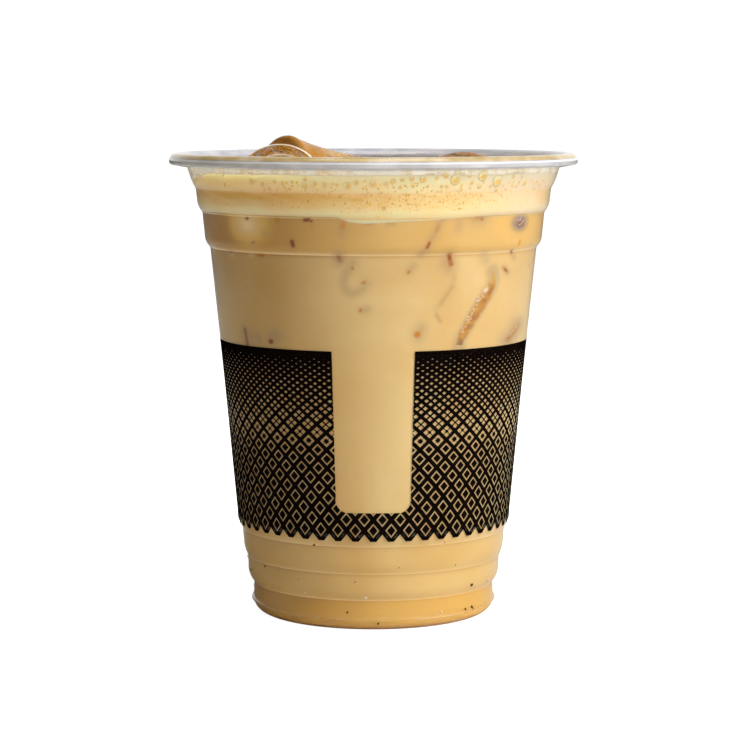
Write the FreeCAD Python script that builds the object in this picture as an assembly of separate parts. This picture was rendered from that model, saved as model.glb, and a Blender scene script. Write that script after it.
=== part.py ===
import FreeCAD, Part
import math
import os

# Iced milk coffee in a clear take-away cup.
# Millimetres, +Z up.  The origin is the middle of the ring the cup stands on.
# -Y is the front.  Pieces: cup, latte, foam and three lumps of ice that float
# half out of the foam, one of them a tube whose bore shows.

# ---------------------------------------------------------------- cup wall --
WALL = 0.45            # sheet thickness of the thermoformed cup
SLOPE = 0.0976         # outward lean of the main wall and shoulders (mm/mm)

# foot
PANEL_Z = 1.90         # height of the recessed base panel's underside
PANEL_BEND = 1.50      # radius of the two bends between panel and ring
RING_R_OUT = 26.24     # outer radius of the ring the cup stands on
RING_WIDTH = 1.55      # flat width of that ring
FOOT_ROUND = 3.00      # rounding between ring and foot wall
FOOT_R = 29.24         # radius at the foot's widest point

# Horizontal lips.  Each section above a crease bulges out over the one below
# it: (crease radius, crease height, radius and height where the bulge runs
# into the section's wall, that wall's lean).
STACK_LIPS = [
    (29.10, 7.25, 30.50, 10.30, 0.055),    # three stacking steps at the foot
    (30.69, 13.75, 31.62, 16.72, 0.082),
    (31.92, 20.40, 32.95, 23.40, 0.0950),
]
SHOULDER_LIPS = [
    (39.30, 88.50, 40.54, 90.90, 0.0974),  # two shoulders
    (41.12, 96.90, 42.34, 99.60, 0.1060),
    (42.67, 102.60, 43.77, 104.80, 0.336), # ledge under the rim
]
WALL_MID = (35.99, 56.00)   # the long wall is drawn in very slightly here

# rim: a bead rolled outward and down, left hollow
RIM_TOP = 110.96
RIM_R = 48.97
NECK_TOP = 109.00      # where the neck starts to roll over
BEAD_LOW_ROUND = 0.25  # inside radius of the bead's lower bend
BEAD_FACE_LOW = 108.90 # inside height where that bend starts
BEAD_END_R = 45.85     # the sheet's edge, just short of the neck
BEAD_DROP = 10.0       # degrees that the bead's underside falls inwards

# ---------------------------------------------------------------- contents --
FOAM_WALL_Z = 106.90   # foam level where it clings to the wall
FOAM_MID_Z = 106.00    # foam level in the middle
FOAM_WAVE = 0.16       # unevenness of the foam's top
LATTE_WALL_Z = 96.75   # coffee level under the foam at the wall
LATTE_MID_Z = 95.00    # coffee level under the foam away from the wall
LATTE_FRONT_DIP = 1.20 # the foam hangs lower at the front
LATTE_DIP_WIDTH = 11.0
LATTE_WAVE = 0.20
SURFACE_HALF = 50.0    # half size of the square on which levels are laid out
SURFACE_CELLS = 20

# ice: outer radius, bore radius (0 where no bore shows), length, edge
# rounding, crown of the side, middle of the near end, axis from the near end
# to the far end
ICE = {
    "ice_front": dict(r=10.25, bore=7.75, length=22.0, edge=0.55, crown=0.12,
                      at=(-21.25, -26.0, 103.15), axis=(-0.015, 1.0, -0.032)),
    "ice_back": dict(r=9.78, bore=0.0, length=27.0, edge=1.18, crown=-0.81,
                     at=(-23.34, 8.80, 104.98), axis=(0.7548, 0.6149, -0.2282)),
    "ice_right": dict(r=9.40, bore=0.0, length=18.0, edge=2.20, crown=2.60,
                      at=(12.90, 2.60, 100.85), axis=(1.0, 0.18, 0.02)),
}


# ------------------------------------------------------------ small helpers --
def vec(p):
    return FreeCAD.Vector(p[0], 0.0, p[1])


def line(a, b):
    return ("L", a, b)


def arc(a, b, centre, side):
    """Arc from a to b; side +1 turns left, -1 turns right."""
    return ("A", a, b, centre, side)


def direction(item, at_end):
    """Unit tangent of a line or arc at its start or end."""
    if item[0] == "L":
        dx, dz = item[2][0] - item[1][0], item[2][1] - item[1][1]
    else:
        p = item[2] if at_end else item[1]
        cx, cz = item[3]
        s = item[4]
        dx, dz = -(p[1] - cz) * s, (p[0] - cx) * s
    n = math.hypot(dx, dz)
    return dx / n, dz / n


def shift(p, d, t):
    """Point p moved by t to the left of direction d."""
    return p[0] - d[1] * t, p[1] + d[0] * t


def offset_path(items, t):
    """The path moved t to its left; open corners are closed by arcs."""
    out = []
    for i, item in enumerate(items):
        a = shift(item[1], direction(item, False), t)
        b = shift(item[2], direction(item, True), t)
        if out:
            last = out[-1][2]
            if math.hypot(last[0] - a[0], last[1] - a[1]) > 1e-6:
                out.append(arc(last, a, item[1], -1))
        if item[0] == "L":
            out.append(line(a, b))
        else:
            out.append(arc(a, b, item[3], item[4]))
    return out


def edge(item):
    if item[0] == "L":
        return Part.makeLine(vec(item[1]), vec(item[2]))
    a, b, (cx, cz), s = item[1], item[2], item[3], item[4]
    r = math.hypot(a[0] - cx, a[1] - cz)
    t0 = math.atan2(a[1] - cz, a[0] - cx)
    t1 = math.atan2(b[1] - cz, b[0] - cx)
    if s > 0 and t1 < t0:
        t1 += 2 * math.pi
    if s < 0 and t1 > t0:
        t1 -= 2 * math.pi
    tm = 0.5 * (t0 + t1)
    mid = (cx + r * math.cos(tm), cz + r * math.sin(tm))
    return Part.Arc(vec(a), vec(mid), vec(b)).toShape()


def reverse(items):
    out = []
    for it in reversed(items):
        if it[0] == "L":
            out.append(line(it[2], it[1]))
        else:
            out.append(arc(it[2], it[1], it[3], -it[4]))
    return out


def turned(items):
    """Solid of revolution about Z of a closed outline in the XZ plane."""
    wire = Part.Wire([edge(i) for i in items])
    face = Part.Face(wire)
    solid = face.revolve(FreeCAD.Vector(0, 0, 0), FreeCAD.Vector(0, 0, 1), 360)
    if solid.ShapeType != "Solid":
        solid = Part.Solid(Part.Shell(solid.Faces))
    if solid.Volume < 0:
        solid.reverse()
    return solid


def lip_arc(crease, top, lean):
    """Arc from the crease that runs tangent into the wall at top."""
    n = math.hypot(1.0, lean)
    nx, nz = 1.0 / n, -lean / n              # outward normal of the wall
    dx, dz = top[0] - crease[0], top[1] - crease[1]
    r = (dx * dx + dz * dz) / (2.0 * (dx * nx + dz * nz))
    centre = (top[0] - nx * r, top[1] - nz * r)
    return arc(crease, top, centre, 1)


# ----------------------------------------------------------------- the cup --
def cup_outside():
    """Outside of the sheet, from the axis out, up the wall, round the bead."""
    path = []
    ring_in = RING_R_OUT - RING_WIDTH
    turn = math.acos(1.0 - PANEL_Z / (2.0 * PANEL_BEND))
    reach = PANEL_BEND * math.sin(turn)
    a = (ring_in - 2.0 * reach, PANEL_Z)
    b = (ring_in - reach, PANEL_Z / 2.0)
    c = (ring_in, 0.0)
    path.append(line((0.0, PANEL_Z), a))
    path.append(arc(a, b, (a[0], PANEL_Z - PANEL_BEND), -1))
    path.append(arc(b, c, (c[0], PANEL_BEND), 1))
    d = (RING_R_OUT, 0.0)
    path.append(line(c, d))
    e = (FOOT_R, FOOT_ROUND)
    path.append(arc(d, e, (RING_R_OUT, FOOT_ROUND), 1))
    here = e
    for cr, cz, tr, tz, lean in STACK_LIPS:
        path.append(line(here, (cr, cz)))
        path.append(lip_arc((cr, cz), (tr, tz), lean))
        here = (tr, tz)
    path.append(line(here, WALL_MID))
    here = WALL_MID
    for cr, cz, tr, tz, lean in SHOULDER_LIPS:
        path.append(line(here, (cr, cz)))
        path.append(lip_arc((cr, cz), (tr, tz), lean))
        here = (tr, tz)
    # neck, then the bead; here the path is the hidden inside of the bead
    lean = SHOULDER_LIPS[-1][4]
    s = (here[0] + lean * (NECK_TOP - here[1]), NECK_TOP)
    path.append(line(here, s))
    n = math.hypot(1.0, lean)
    ux, uz = lean / n, 1.0 / n
    crest = RIM_TOP - WALL
    r1 = (crest - s[1]) / (1.0 - ux)
    centre = (s[0] + uz * r1, s[1] - ux * r1)
    top = (centre[0], crest)
    path.append(arc(s, top, centre, -1))
    r2 = RIM_R - WALL - top[0]
    side = (top[0] + r2, crest - r2)
    path.append(arc(top, side, (top[0], crest - r2), -1))
    low = (side[0], BEAD_FACE_LOW)
    path.append(line(side, low))
    c3 = (low[0] - BEAD_LOW_ROUND, low[1])
    drop = math.radians(BEAD_DROP)
    under = (c3[0] + BEAD_LOW_ROUND * math.sin(drop),
             c3[1] - BEAD_LOW_ROUND * math.cos(drop))
    path.append(arc(low, under, c3, -1))
    end = (BEAD_END_R, under[1] - math.tan(drop) * (under[0] - BEAD_END_R))
    path.append(line(under, end))
    return path


def neck_index(path):
    """Number of path items up to and with the straight neck."""
    for i, item in enumerate(path):
        if item[0] == "L" and abs(item[2][1] - NECK_TOP) < 1e-9:
            return i + 1
    raise ValueError("no neck")


outside = cup_outside()
inside = offset_path(outside, WALL)
cup = turned(outside
             + [line(outside[-1][2], inside[-1][2])]
             + reverse(inside)
             + [line(inside[0][1], outside[0][1])])


# ------------------------------------------------------------- the contents --
def smooth(x):
    x = min(1.0, max(0.0, x))
    return x * x * (3.0 - 2.0 * x)


def foam_level(x, y):
    r = math.hypot(x, y)
    climb = smooth((r - 37.5) / 6.0)
    wave = (math.sin(0.21 * x + 0.6) * math.cos(0.17 * y - 0.4)
            + 0.6 * math.sin(0.33 * y + 0.19 * x + 1.7))
    return (FOAM_MID_Z + (FOAM_WALL_Z - FOAM_MID_Z) * climb
            + FOAM_WAVE * wave * (1.0 - 0.6 * climb))


def latte_level(x, y):
    r = math.hypot(x, y)
    rise = smooth((r - 35.5) / 5.0)
    dip = math.exp(-(x / LATTE_DIP_WIDTH) ** 2) * smooth((-y - 20.0) / 15.0)
    wave = math.sin(0.15 * x + 0.24 * y + 0.8) + 0.6 * math.cos(0.29 * x - 0.11 * y)
    return (LATTE_MID_Z + (LATTE_WALL_Z - LATTE_MID_Z) * rise
            - LATTE_FRONT_DIP * dip * rise + LATTE_WAVE * wave * (0.4 + 0.6 * rise))


def below(level):
    """Everything under an uneven level."""
    n = SURFACE_CELLS
    step = 2.0 * SURFACE_HALF / n
    grid = []
    for i in range(n + 1):
        x = -SURFACE_HALF + i * step
        grid.append([FreeCAD.Vector(x, -SURFACE_HALF + j * step,
                                    level(x, -SURFACE_HALF + j * step))
                     for j in range(n + 1)])
    surface = Part.BSplineSurface()
    surface.interpolate(grid)
    return surface.toShape().extrude(FreeCAD.Vector(0, 0, -130.0))


count = neck_index(outside)
limit = outside[count - 1][2]
fill_path = []
for item in inside:
    fill_path.append(item)
    if item[0] == "L" and item[2][1] > NECK_TOP - 1.0 and item[2][0] > 44.0:
        break
top_point = fill_path[-1][2]
fill = turned(fill_path
              + [line(top_point, (0.0, top_point[1])),
                 line((0.0, top_point[1]), fill_path[0][1])])


def ice_tube(r, bore, length, edge, crown, at, axis):
    """Round ice with melted edges and a crowned or waisted side."""
    # side: through the ends (r - crown) and the middle (r); a negative crown
    # gives a waist
    a = FreeCAD.Vector(r - crown, 0, 0)
    b = FreeCAD.Vector(r - crown, 0, length)
    run = []
    for i in range(7):
        t = i / 6.0
        run.append(FreeCAD.Vector(r - crown * (2.0 * t - 1.0) ** 2, 0, length * t))
    curve = Part.BSplineCurve()
    curve.interpolate(run)
    side = curve.toShape()
    parts = [side,
             Part.makeLine(b, FreeCAD.Vector(bore, 0, length)),
             Part.makeLine(FreeCAD.Vector(bore, 0, length),
                           FreeCAD.Vector(bore, 0, 0)),
             Part.makeLine(FreeCAD.Vector(bore, 0, 0), a)]
    face = Part.Face(Part.Wire(parts))
    solid = face.revolve(FreeCAD.Vector(0, 0, 0), FreeCAD.Vector(0, 0, 1), 360)
    if solid.ShapeType != "Solid":
        solid = Part.Solid(Part.Shell(solid.Faces))
    def end_circles(body, radius):
        found = []
        for e in body.Edges:
            if (e.Curve.TypeId == "Part::GeomCircle"
                    and abs(e.Curve.Radius - radius) < 1e-6
                    and abs(e.Curve.Axis.z) > 0.999):
                found.append(e)
        return found

    solid = solid.makeFillet(edge, end_circles(solid, r - crown))
    if bore:
        solid = solid.makeFillet(0.5 * edge, end_circles(solid, bore))
    solid = solid.Solids[0]
    turn = FreeCAD.Rotation(FreeCAD.Vector(0, 0, 1), FreeCAD.Vector(*axis))
    solid.Placement = FreeCAD.Placement(FreeCAD.Vector(*at), turn)
    return solid


ice = {name: ice_tube(**size) for name, size in ICE.items()}

under_foam = below(foam_level)
under_latte = below(latte_level)
foam = fill.common(under_foam).cut(under_latte)
latte = fill.common(under_latte)
for piece in ice.values():
    foam = foam.cut(piece)
    latte = latte.cut(piece)


def one_solid(shape, name):
    solids = sorted(shape.Solids, key=lambda s: -s.Volume)
    if len(solids) > 1:
        print(name, "pieces:", [round(s.Volume, 3) for s in solids])
    return solids[0]


pieces = {"cup": cup,
          "latte": one_solid(latte, "latte"),
          "foam": one_solid(foam, "foam")}
pieces.update(ice)

os.makedirs("parts", exist_ok=True)
for name, shape in pieces.items():
    box = shape.BoundBox
    print("%-10s %s valid=%s volume=%.1f mm3 box x %.2f..%.2f y %.2f..%.2f z %.2f..%.2f"
          % (name, shape.ShapeType, shape.isValid(), shape.Volume,
             box.XMin, box.XMax, box.YMin, box.YMax, box.ZMin, box.ZMax))
    shape.exportStep("parts/%s.step" % name)
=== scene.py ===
import bpy
import math
import numpy as np
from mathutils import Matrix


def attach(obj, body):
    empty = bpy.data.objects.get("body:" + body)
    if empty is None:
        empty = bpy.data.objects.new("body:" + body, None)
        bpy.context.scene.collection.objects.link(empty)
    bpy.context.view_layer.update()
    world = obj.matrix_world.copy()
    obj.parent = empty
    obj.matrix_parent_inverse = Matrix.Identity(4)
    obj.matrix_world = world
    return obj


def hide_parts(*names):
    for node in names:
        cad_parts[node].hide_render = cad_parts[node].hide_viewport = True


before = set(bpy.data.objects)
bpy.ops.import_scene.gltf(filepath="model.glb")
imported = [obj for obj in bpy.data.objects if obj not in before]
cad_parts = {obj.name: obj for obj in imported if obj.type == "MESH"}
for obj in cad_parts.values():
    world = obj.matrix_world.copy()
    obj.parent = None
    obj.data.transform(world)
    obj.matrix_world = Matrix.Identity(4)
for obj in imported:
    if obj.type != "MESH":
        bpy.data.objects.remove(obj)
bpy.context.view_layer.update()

# Iced milk coffee in a clear take-away cup.  Sizes below are millimetres in
# the frame of the CAD model; meshes are written in metres.
MM = 0.001
rng = np.random.default_rng(20417)

# =================================================================== shape ==
WALL = 0.45
PANEL_Z, PANEL_BEND = 1.90, 1.50
RING_R_OUT, RING_WIDTH = 26.24, 1.55
FOOT_ROUND, FOOT_R = 3.00, 29.24
STACK_LIPS = [(29.10, 7.25, 30.50, 10.30, 0.055),
              (30.69, 13.75, 31.62, 16.72, 0.082),
              (31.92, 20.40, 32.95, 23.40, 0.0950)]
SHOULDER_LIPS = [(39.30, 88.50, 40.54, 90.90, 0.0974),
                 (41.12, 96.90, 42.34, 99.60, 0.1060),
                 (42.67, 102.60, 43.77, 104.80, 0.336)]
WALL_MID = (35.99, 56.00)
RIM_TOP, RIM_R = 110.955, 48.962
NECK_TOP = 109.00
BEAD_LOW_ROUND, BEAD_FACE_LOW, BEAD_END_R, BEAD_DROP = 0.25, 108.90, 45.85, 10.0

FOAM_MID_Z = 106.00
LATTE_IN, FOAM_IN = 0.24, 0.28     # how far the contents reach into the wall
LATTE_WALL_Z, LATTE_MID_Z = 96.75, 95.00


def line(a, b):
    return ("L", a, b)


def arc(a, b, centre, side):
    return ("A", a, b, centre, side)


def direction(item, at_end):
    if item[0] == "L":
        dx, dz = item[2][0] - item[1][0], item[2][1] - item[1][1]
    else:
        p = item[2] if at_end else item[1]
        cx, cz = item[3]
        s = item[4]
        dx, dz = -(p[1] - cz) * s, (p[0] - cx) * s
    n = math.hypot(dx, dz)
    return dx / n, dz / n


def lip_arc(crease, top, lean):
    n = math.hypot(1.0, lean)
    nx, nz = 1.0 / n, -lean / n
    dx, dz = top[0] - crease[0], top[1] - crease[1]
    r = (dx * dx + dz * dz) / (2.0 * (dx * nx + dz * nz))
    return arc(crease, top, (top[0] - nx * r, top[1] - nz * r), 1)


def cup_outside():
    """Outside of the sheet, from the axis out, up the wall, round the bead."""
    path = []
    ring_in = RING_R_OUT - RING_WIDTH
    turn = math.acos(1.0 - PANEL_Z / (2.0 * PANEL_BEND))
    reach = PANEL_BEND * math.sin(turn)
    a = (ring_in - 2.0 * reach, PANEL_Z)
    b = (ring_in - reach, PANEL_Z / 2.0)
    c = (ring_in, 0.0)
    path.append(line((0.0, PANEL_Z), a))
    path.append(arc(a, b, (a[0], PANEL_Z - PANEL_BEND), -1))
    path.append(arc(b, c, (c[0], PANEL_BEND), 1))
    d = (RING_R_OUT, 0.0)
    path.append(line(c, d))
    e = (FOOT_R, FOOT_ROUND)
    path.append(arc(d, e, (RING_R_OUT, FOOT_ROUND), 1))
    here = e
    for cr, cz, tr, tz, lean in STACK_LIPS:
        path.append(line(here, (cr, cz)))
        path.append(lip_arc((cr, cz), (tr, tz), lean))
        here = (tr, tz)
    path.append(line(here, WALL_MID))
    here = WALL_MID
    for cr, cz, tr, tz, lean in SHOULDER_LIPS:
        path.append(line(here, (cr, cz)))
        path.append(lip_arc((cr, cz), (tr, tz), lean))
        here = (tr, tz)
    lean = SHOULDER_LIPS[-1][4]
    s = (here[0] + lean * (NECK_TOP - here[1]), NECK_TOP)
    path.append(line(here, s))
    neck = len(path)
    n = math.hypot(1.0, lean)
    ux, uz = lean / n, 1.0 / n
    crest = RIM_TOP - WALL
    r1 = (crest - s[1]) / (1.0 - ux)
    centre = (s[0] + uz * r1, s[1] - ux * r1)
    top = (centre[0], crest)
    path.append(arc(s, top, centre, -1))
    r2 = RIM_R - WALL - top[0]
    side = (top[0] + r2, crest - r2)
    path.append(arc(top, side, (top[0], crest - r2), -1))
    low = (side[0], BEAD_FACE_LOW)
    path.append(line(side, low))
    c3 = (low[0] - BEAD_LOW_ROUND, low[1])
    drop = math.radians(BEAD_DROP)
    under = (c3[0] + BEAD_LOW_ROUND * math.sin(drop),
             c3[1] - BEAD_LOW_ROUND * math.cos(drop))
    path.append(arc(low, under, c3, -1))
    end = (BEAD_END_R, under[1] - math.tan(drop) * (under[0] - BEAD_END_R))
    path.append(line(under, end))
    return path, neck


def offset_path(items, t):
    out = []
    for item in items:
        d0, d1 = direction(item, False), direction(item, True)
        a = (item[1][0] - d0[1] * t, item[1][1] + d0[0] * t)
        b = (item[2][0] - d1[1] * t, item[2][1] + d1[0] * t)
        if out:
            last = out[-1][2]
            if math.hypot(last[0] - a[0], last[1] - a[1]) > 0.01:
                out.append(arc(last, a, item[1], -1))
            else:
                a = last
        if item[0] == "L":
            out.append(line(a, b))
        else:
            out.append(arc(a, b, item[3], item[4]))
    return out


def sampled(items, arc_deg=5.0, step=2.0):
    """Points along a path."""
    pts = [items[0][1]]
    for it in items:
        a, b = it[1], it[2]
        if it[0] == "L":
            length = math.hypot(b[0] - a[0], b[1] - a[1])
            n = max(1, int(math.ceil(length / step)))
            ts = [i / n for i in range(1, n + 1)]
            guard = 0.25 / length if length > 1.0 else None
            if guard:
                ts = sorted(set([guard] + ts + [1.0 - guard]))
                ts = [t for t in ts if t >= guard]
            for t in ts:
                pts.append((a[0] + (b[0] - a[0]) * t, a[1] + (b[1] - a[1]) * t))
        else:
            cx, cz = it[3]
            s = it[4]
            r = math.hypot(a[0] - cx, a[1] - cz)
            t0 = math.atan2(a[1] - cz, a[0] - cx)
            t1 = math.atan2(b[1] - cz, b[0] - cx)
            if s > 0 and t1 < t0:
                t1 += 2 * math.pi
            if s < 0 and t1 > t0:
                t1 -= 2 * math.pi
            n = max(2, int(math.ceil(abs(t1 - t0) / math.radians(arc_deg))),
                    int(math.ceil(abs(t1 - t0) * r / step)))
            for i in range(1, n + 1):
                t = t0 + (t1 - t0) * i / n
                pts.append((cx + r * math.cos(t), cz + r * math.sin(t)))
    return pts


def softened(pts, corners, cut=0.22, n=5):
    """Rounds the listed corners of a polyline with a small curve."""
    pts = [np.array(p, float) for p in pts]
    out = []
    for i, p in enumerate(pts):
        hit = any(abs(p[0] - c[0]) < 1e-6 and abs(p[1] - c[1]) < 1e-6 for c in corners)
        if not hit or i == 0 or i == len(pts) - 1:
            out.append(p)
            continue
        da, db = pts[i - 1] - p, pts[i + 1] - p
        qa = min(cut, 0.45 * np.linalg.norm(da))
        qb = min(cut, 0.45 * np.linalg.norm(db))
        a = p + da / np.linalg.norm(da) * qa
        b = p + db / np.linalg.norm(db) * qb
        for k in range(n + 1):
            t = k / n
            out.append((1 - t) ** 2 * a + 2 * t * (1 - t) * p + t * t * b)
    return [tuple(p) for p in out]


OUTSIDE, NECK_ITEMS = cup_outside()
CREASES = [(l[0], l[1]) for l in STACK_LIPS + SHOULDER_LIPS]


def radius_of(items, z_from, z_to):
    """Radius against height along the wall part of a path."""
    pts = [p for p in sampled(items, 3.0, 0.4)]
    i0 = max(i for i, p in enumerate(pts) if p[1] <= z_from + 1e-9)
    wall = [pts[i0]]
    for p in pts[i0 + 1:]:
        if p[1] > wall[-1][1] + 1e-6:
            wall.append(p)
        if p[1] >= z_to:
            break
    arr = np.array(wall)
    return lambda z: np.interp(z, arr[:, 1], arr[:, 0])


outer_r = radius_of(OUTSIDE[:NECK_ITEMS], 3.0, NECK_TOP)
inner_items = offset_path(OUTSIDE[:NECK_ITEMS], WALL)
inner_r = radius_of(inner_items, 3.3, NECK_TOP)


def smooth(x):
    x = np.clip(x, 0.0, 1.0)
    return x * x * (3.0 - 2.0 * x)


# ============================================================ mesh helpers ==
class Pile:
    """Collects vertices, faces and a colour for each vertex."""

    def __init__(self):
        self.v, self.f, self.c, self.n = [], [], [], 0

    def add(self, verts, faces, colours=None):
        verts = np.asarray(verts, float)
        base = self.n
        self.v.append(verts)
        self.n += len(verts)
        for block in faces:
            self.f.append(np.asarray(block, np.int64) + base)
        if colours is None:
            colours = np.zeros((len(verts), 4))
            colours[:, 3] = 1.0
        self.c.append(np.asarray(colours, float))

    def build(self, name, mat, node=None, smooth_faces=True, attribute=None):
        verts = np.concatenate(self.v) * MM
        blocks = [b for b in self.f if len(b)]
        sizes = np.concatenate([np.full(len(b), b.shape[1]) for b in blocks])
        loops = np.concatenate([b.ravel() for b in blocks])
        me = bpy.data.meshes.new(name)
        me.vertices.add(len(verts))
        me.vertices.foreach_set("co", verts.ravel().astype(np.float32))
        me.loops.add(len(loops))
        me.loops.foreach_set("vertex_index", loops.astype(np.int32))
        me.polygons.add(len(sizes))
        starts = np.concatenate([[0], np.cumsum(sizes)[:-1]])
        me.polygons.foreach_set("loop_start", starts.astype(np.int32))
        me.polygons.foreach_set("use_smooth", np.full(len(sizes), smooth_faces))
        me.update(calc_edges=True)
        me.validate()
        if attribute:
            att = me.color_attributes.new(attribute, "FLOAT_COLOR", "POINT")
            att.data.foreach_set("color", np.concatenate(self.c).ravel().astype(np.float32))
        me.materials.append(mat)
        ob = bpy.data.objects.new(name, me)
        bpy.context.scene.collection.objects.link(ob)
        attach(ob, "root")
        if node:
            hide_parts(node)
        return ob


def grid_faces(nu, nv, wrap_v=True, flip=False):
    """Quads of a grid whose rows are u and whose columns are v."""
    i = np.arange(nu - 1)[:, None]
    last = nv if wrap_v else nv - 1
    j = np.arange(last)[None, :]
    a = i * nv + j
    b = i * nv + (j + 1) % nv
    c = (i + 1) * nv + (j + 1) % nv
    d = (i + 1) * nv + j
    q = np.stack([a, b, c, d], -1).reshape(-1, 4)
    return q[:, ::-1] if flip else q


def fan_faces(centre, ring, flip=False):
    ring = np.asarray(ring)
    nxt = np.roll(ring, -1)
    t = np.stack([np.full(len(ring), centre), ring, nxt], -1)
    return t[:, ::-1] if flip else t


def turned(profile, seg):
    """Vertices and faces of a closed solid of revolution.  The profile is a
    list of (r, z), going round anticlockwise in the half plane; it may start
    and end on the axis."""
    prof = [tuple(p) for p in profile]
    poles = [i for i, p in enumerate(prof) if p[0] < 1e-9]
    ang = np.arange(seg) * 2 * np.pi / seg
    cs, sn = np.cos(ang), np.sin(ang)
    rings = [i for i in range(len(prof)) if i not in poles]
    verts, index = [], {}
    n = 0
    for i, (r, z) in enumerate(prof):
        if i in poles:
            verts.append([[0.0, 0.0, z]])
            index[i] = (n, True)
            n += 1
        else:
            verts.append(np.stack([r * cs, r * sn, np.full(seg, z)], -1))
            index[i] = (n, False)
            n += seg
    verts = np.concatenate([np.asarray(v) for v in verts])
    quads, tris = [], []
    k = np.arange(seg)
    k1 = (k + 1) % seg
    pairs = [(i, i + 1) for i in range(len(prof) - 1)]
    if not poles:
        pairs.append((len(prof) - 1, 0))
    elif len(poles) == 2 and not (poles[0] == 0 and poles[1] == len(prof) - 1):
        raise ValueError("poles must be the ends")
    for i, j in pairs:
        (a, pa), (b, pb) = index[i], index[j]
        if pa and pb:
            continue
        if pa:
            tris.append(np.stack([np.full(seg, a), b + k1, b + k], -1))
        elif pb:
            tris.append(np.stack([a + k, a + k1, np.full(seg, b)], -1))
        else:
            quads.append(np.stack([a + k, a + k1, b + k1, b + k], -1))
    faces = []
    if quads:
        faces.append(np.concatenate(quads))
    if tris:
        faces.append(np.concatenate(tris))
    return verts, faces


# =============================================================== materials ==
def new_material(name):
    mat = bpy.data.materials.new(name)
    mat.use_nodes = True
    nt = mat.node_tree
    bsdf = next(n for n in nt.nodes if n.type == "BSDF_PRINCIPLED")
    out = next(n for n in nt.nodes if n.type == "OUTPUT_MATERIAL")
    return mat, nt, bsdf, out


def node(nt, kind, **values):
    n = nt.nodes.new(kind)
    for key, value in values.items():
        if hasattr(n, key):
            setattr(n, key, value)
        else:
            n.inputs[key.replace("_", " ")].default_value = value
    return n


def math_node(nt, op, a, b=None, clamp=False):
    n = nt.nodes.new("ShaderNodeMath")
    n.operation = op
    n.use_clamp = clamp
    for i, x in enumerate((a, b)):
        if x is None:
            continue
        if isinstance(x, (int, float)):
            n.inputs[i].default_value = x
        else:
            nt.links.new(x, n.inputs[i])
    return n.outputs[0]


def mix_colour(nt, fac, a, b, blend="MIX"):
    n = nt.nodes.new("ShaderNodeMix")
    n.data_type = "RGBA"
    n.blend_type = blend
    n.clamp_factor = True
    for sock, x in ((n.inputs[0], fac), (n.inputs[6], a), (n.inputs[7], b)):
        if isinstance(x, (int, float)):
            sock.default_value = x
        elif isinstance(x, (tuple, list)):
            sock.default_value = (*x[:3], 1.0)
        else:
            nt.links.new(x, sock)
    return n.outputs[2]


def remap(nt, value, lo, hi, to_lo=0.0, to_hi=1.0, smoothstep=True):
    n = nt.nodes.new("ShaderNodeMapRange")
    n.interpolation_type = "SMOOTHSTEP" if smoothstep else "LINEAR"
    n.clamp = True
    nt.links.new(value, n.inputs["Value"])
    n.inputs["From Min"].default_value = lo
    n.inputs["From Max"].default_value = hi
    n.inputs["To Min"].default_value = to_lo
    n.inputs["To Max"].default_value = to_hi
    return n.outputs["Result"]


def place(nt, scale=(1, 1, 1)):
    """Object coordinates, scaled."""
    t = nt.nodes.new("ShaderNodeTexCoord")
    if scale == (1, 1, 1):
        return t.outputs["Object"]
    m = nt.nodes.new("ShaderNodeMapping")
    m.inputs["Scale"].default_value = scale
    nt.links.new(t.outputs["Object"], m.inputs["Vector"])
    return m.outputs["Vector"]


def noise(nt, vector, scale, detail=3.0, rough=0.5, distortion=0.0):
    n = nt.nodes.new("ShaderNodeTexNoise")
    n.inputs["Scale"].default_value = scale
    n.inputs["Detail"].default_value = detail
    n.inputs["Roughness"].default_value = rough
    n.inputs["Distortion"].default_value = distortion
    nt.links.new(vector, n.inputs["Vector"])
    return n.outputs["Fac"]


def voronoi(nt, vector, scale, feature="F1", randomness=1.0):
    n = nt.nodes.new("ShaderNodeTexVoronoi")
    n.feature = feature
    n.inputs["Scale"].default_value = scale
    n.inputs["Randomness"].default_value = randomness
    nt.links.new(vector, n.inputs["Vector"])
    return n


def bump(nt, height, distance, strength=1.0):
    n = nt.nodes.new("ShaderNodeBump")
    n.inputs["Distance"].default_value = distance
    n.inputs["Strength"].default_value = strength
    nt.links.new(height, n.inputs["Height"])
    return n.outputs["Normal"]


def srgb(r, g, b):
    def one(c):
        c = c / 255.0
        return c / 12.92 if c <= 0.04045 else ((c + 0.055) / 1.055) ** 2.4
    return (one(r), one(g), one(b))


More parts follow.
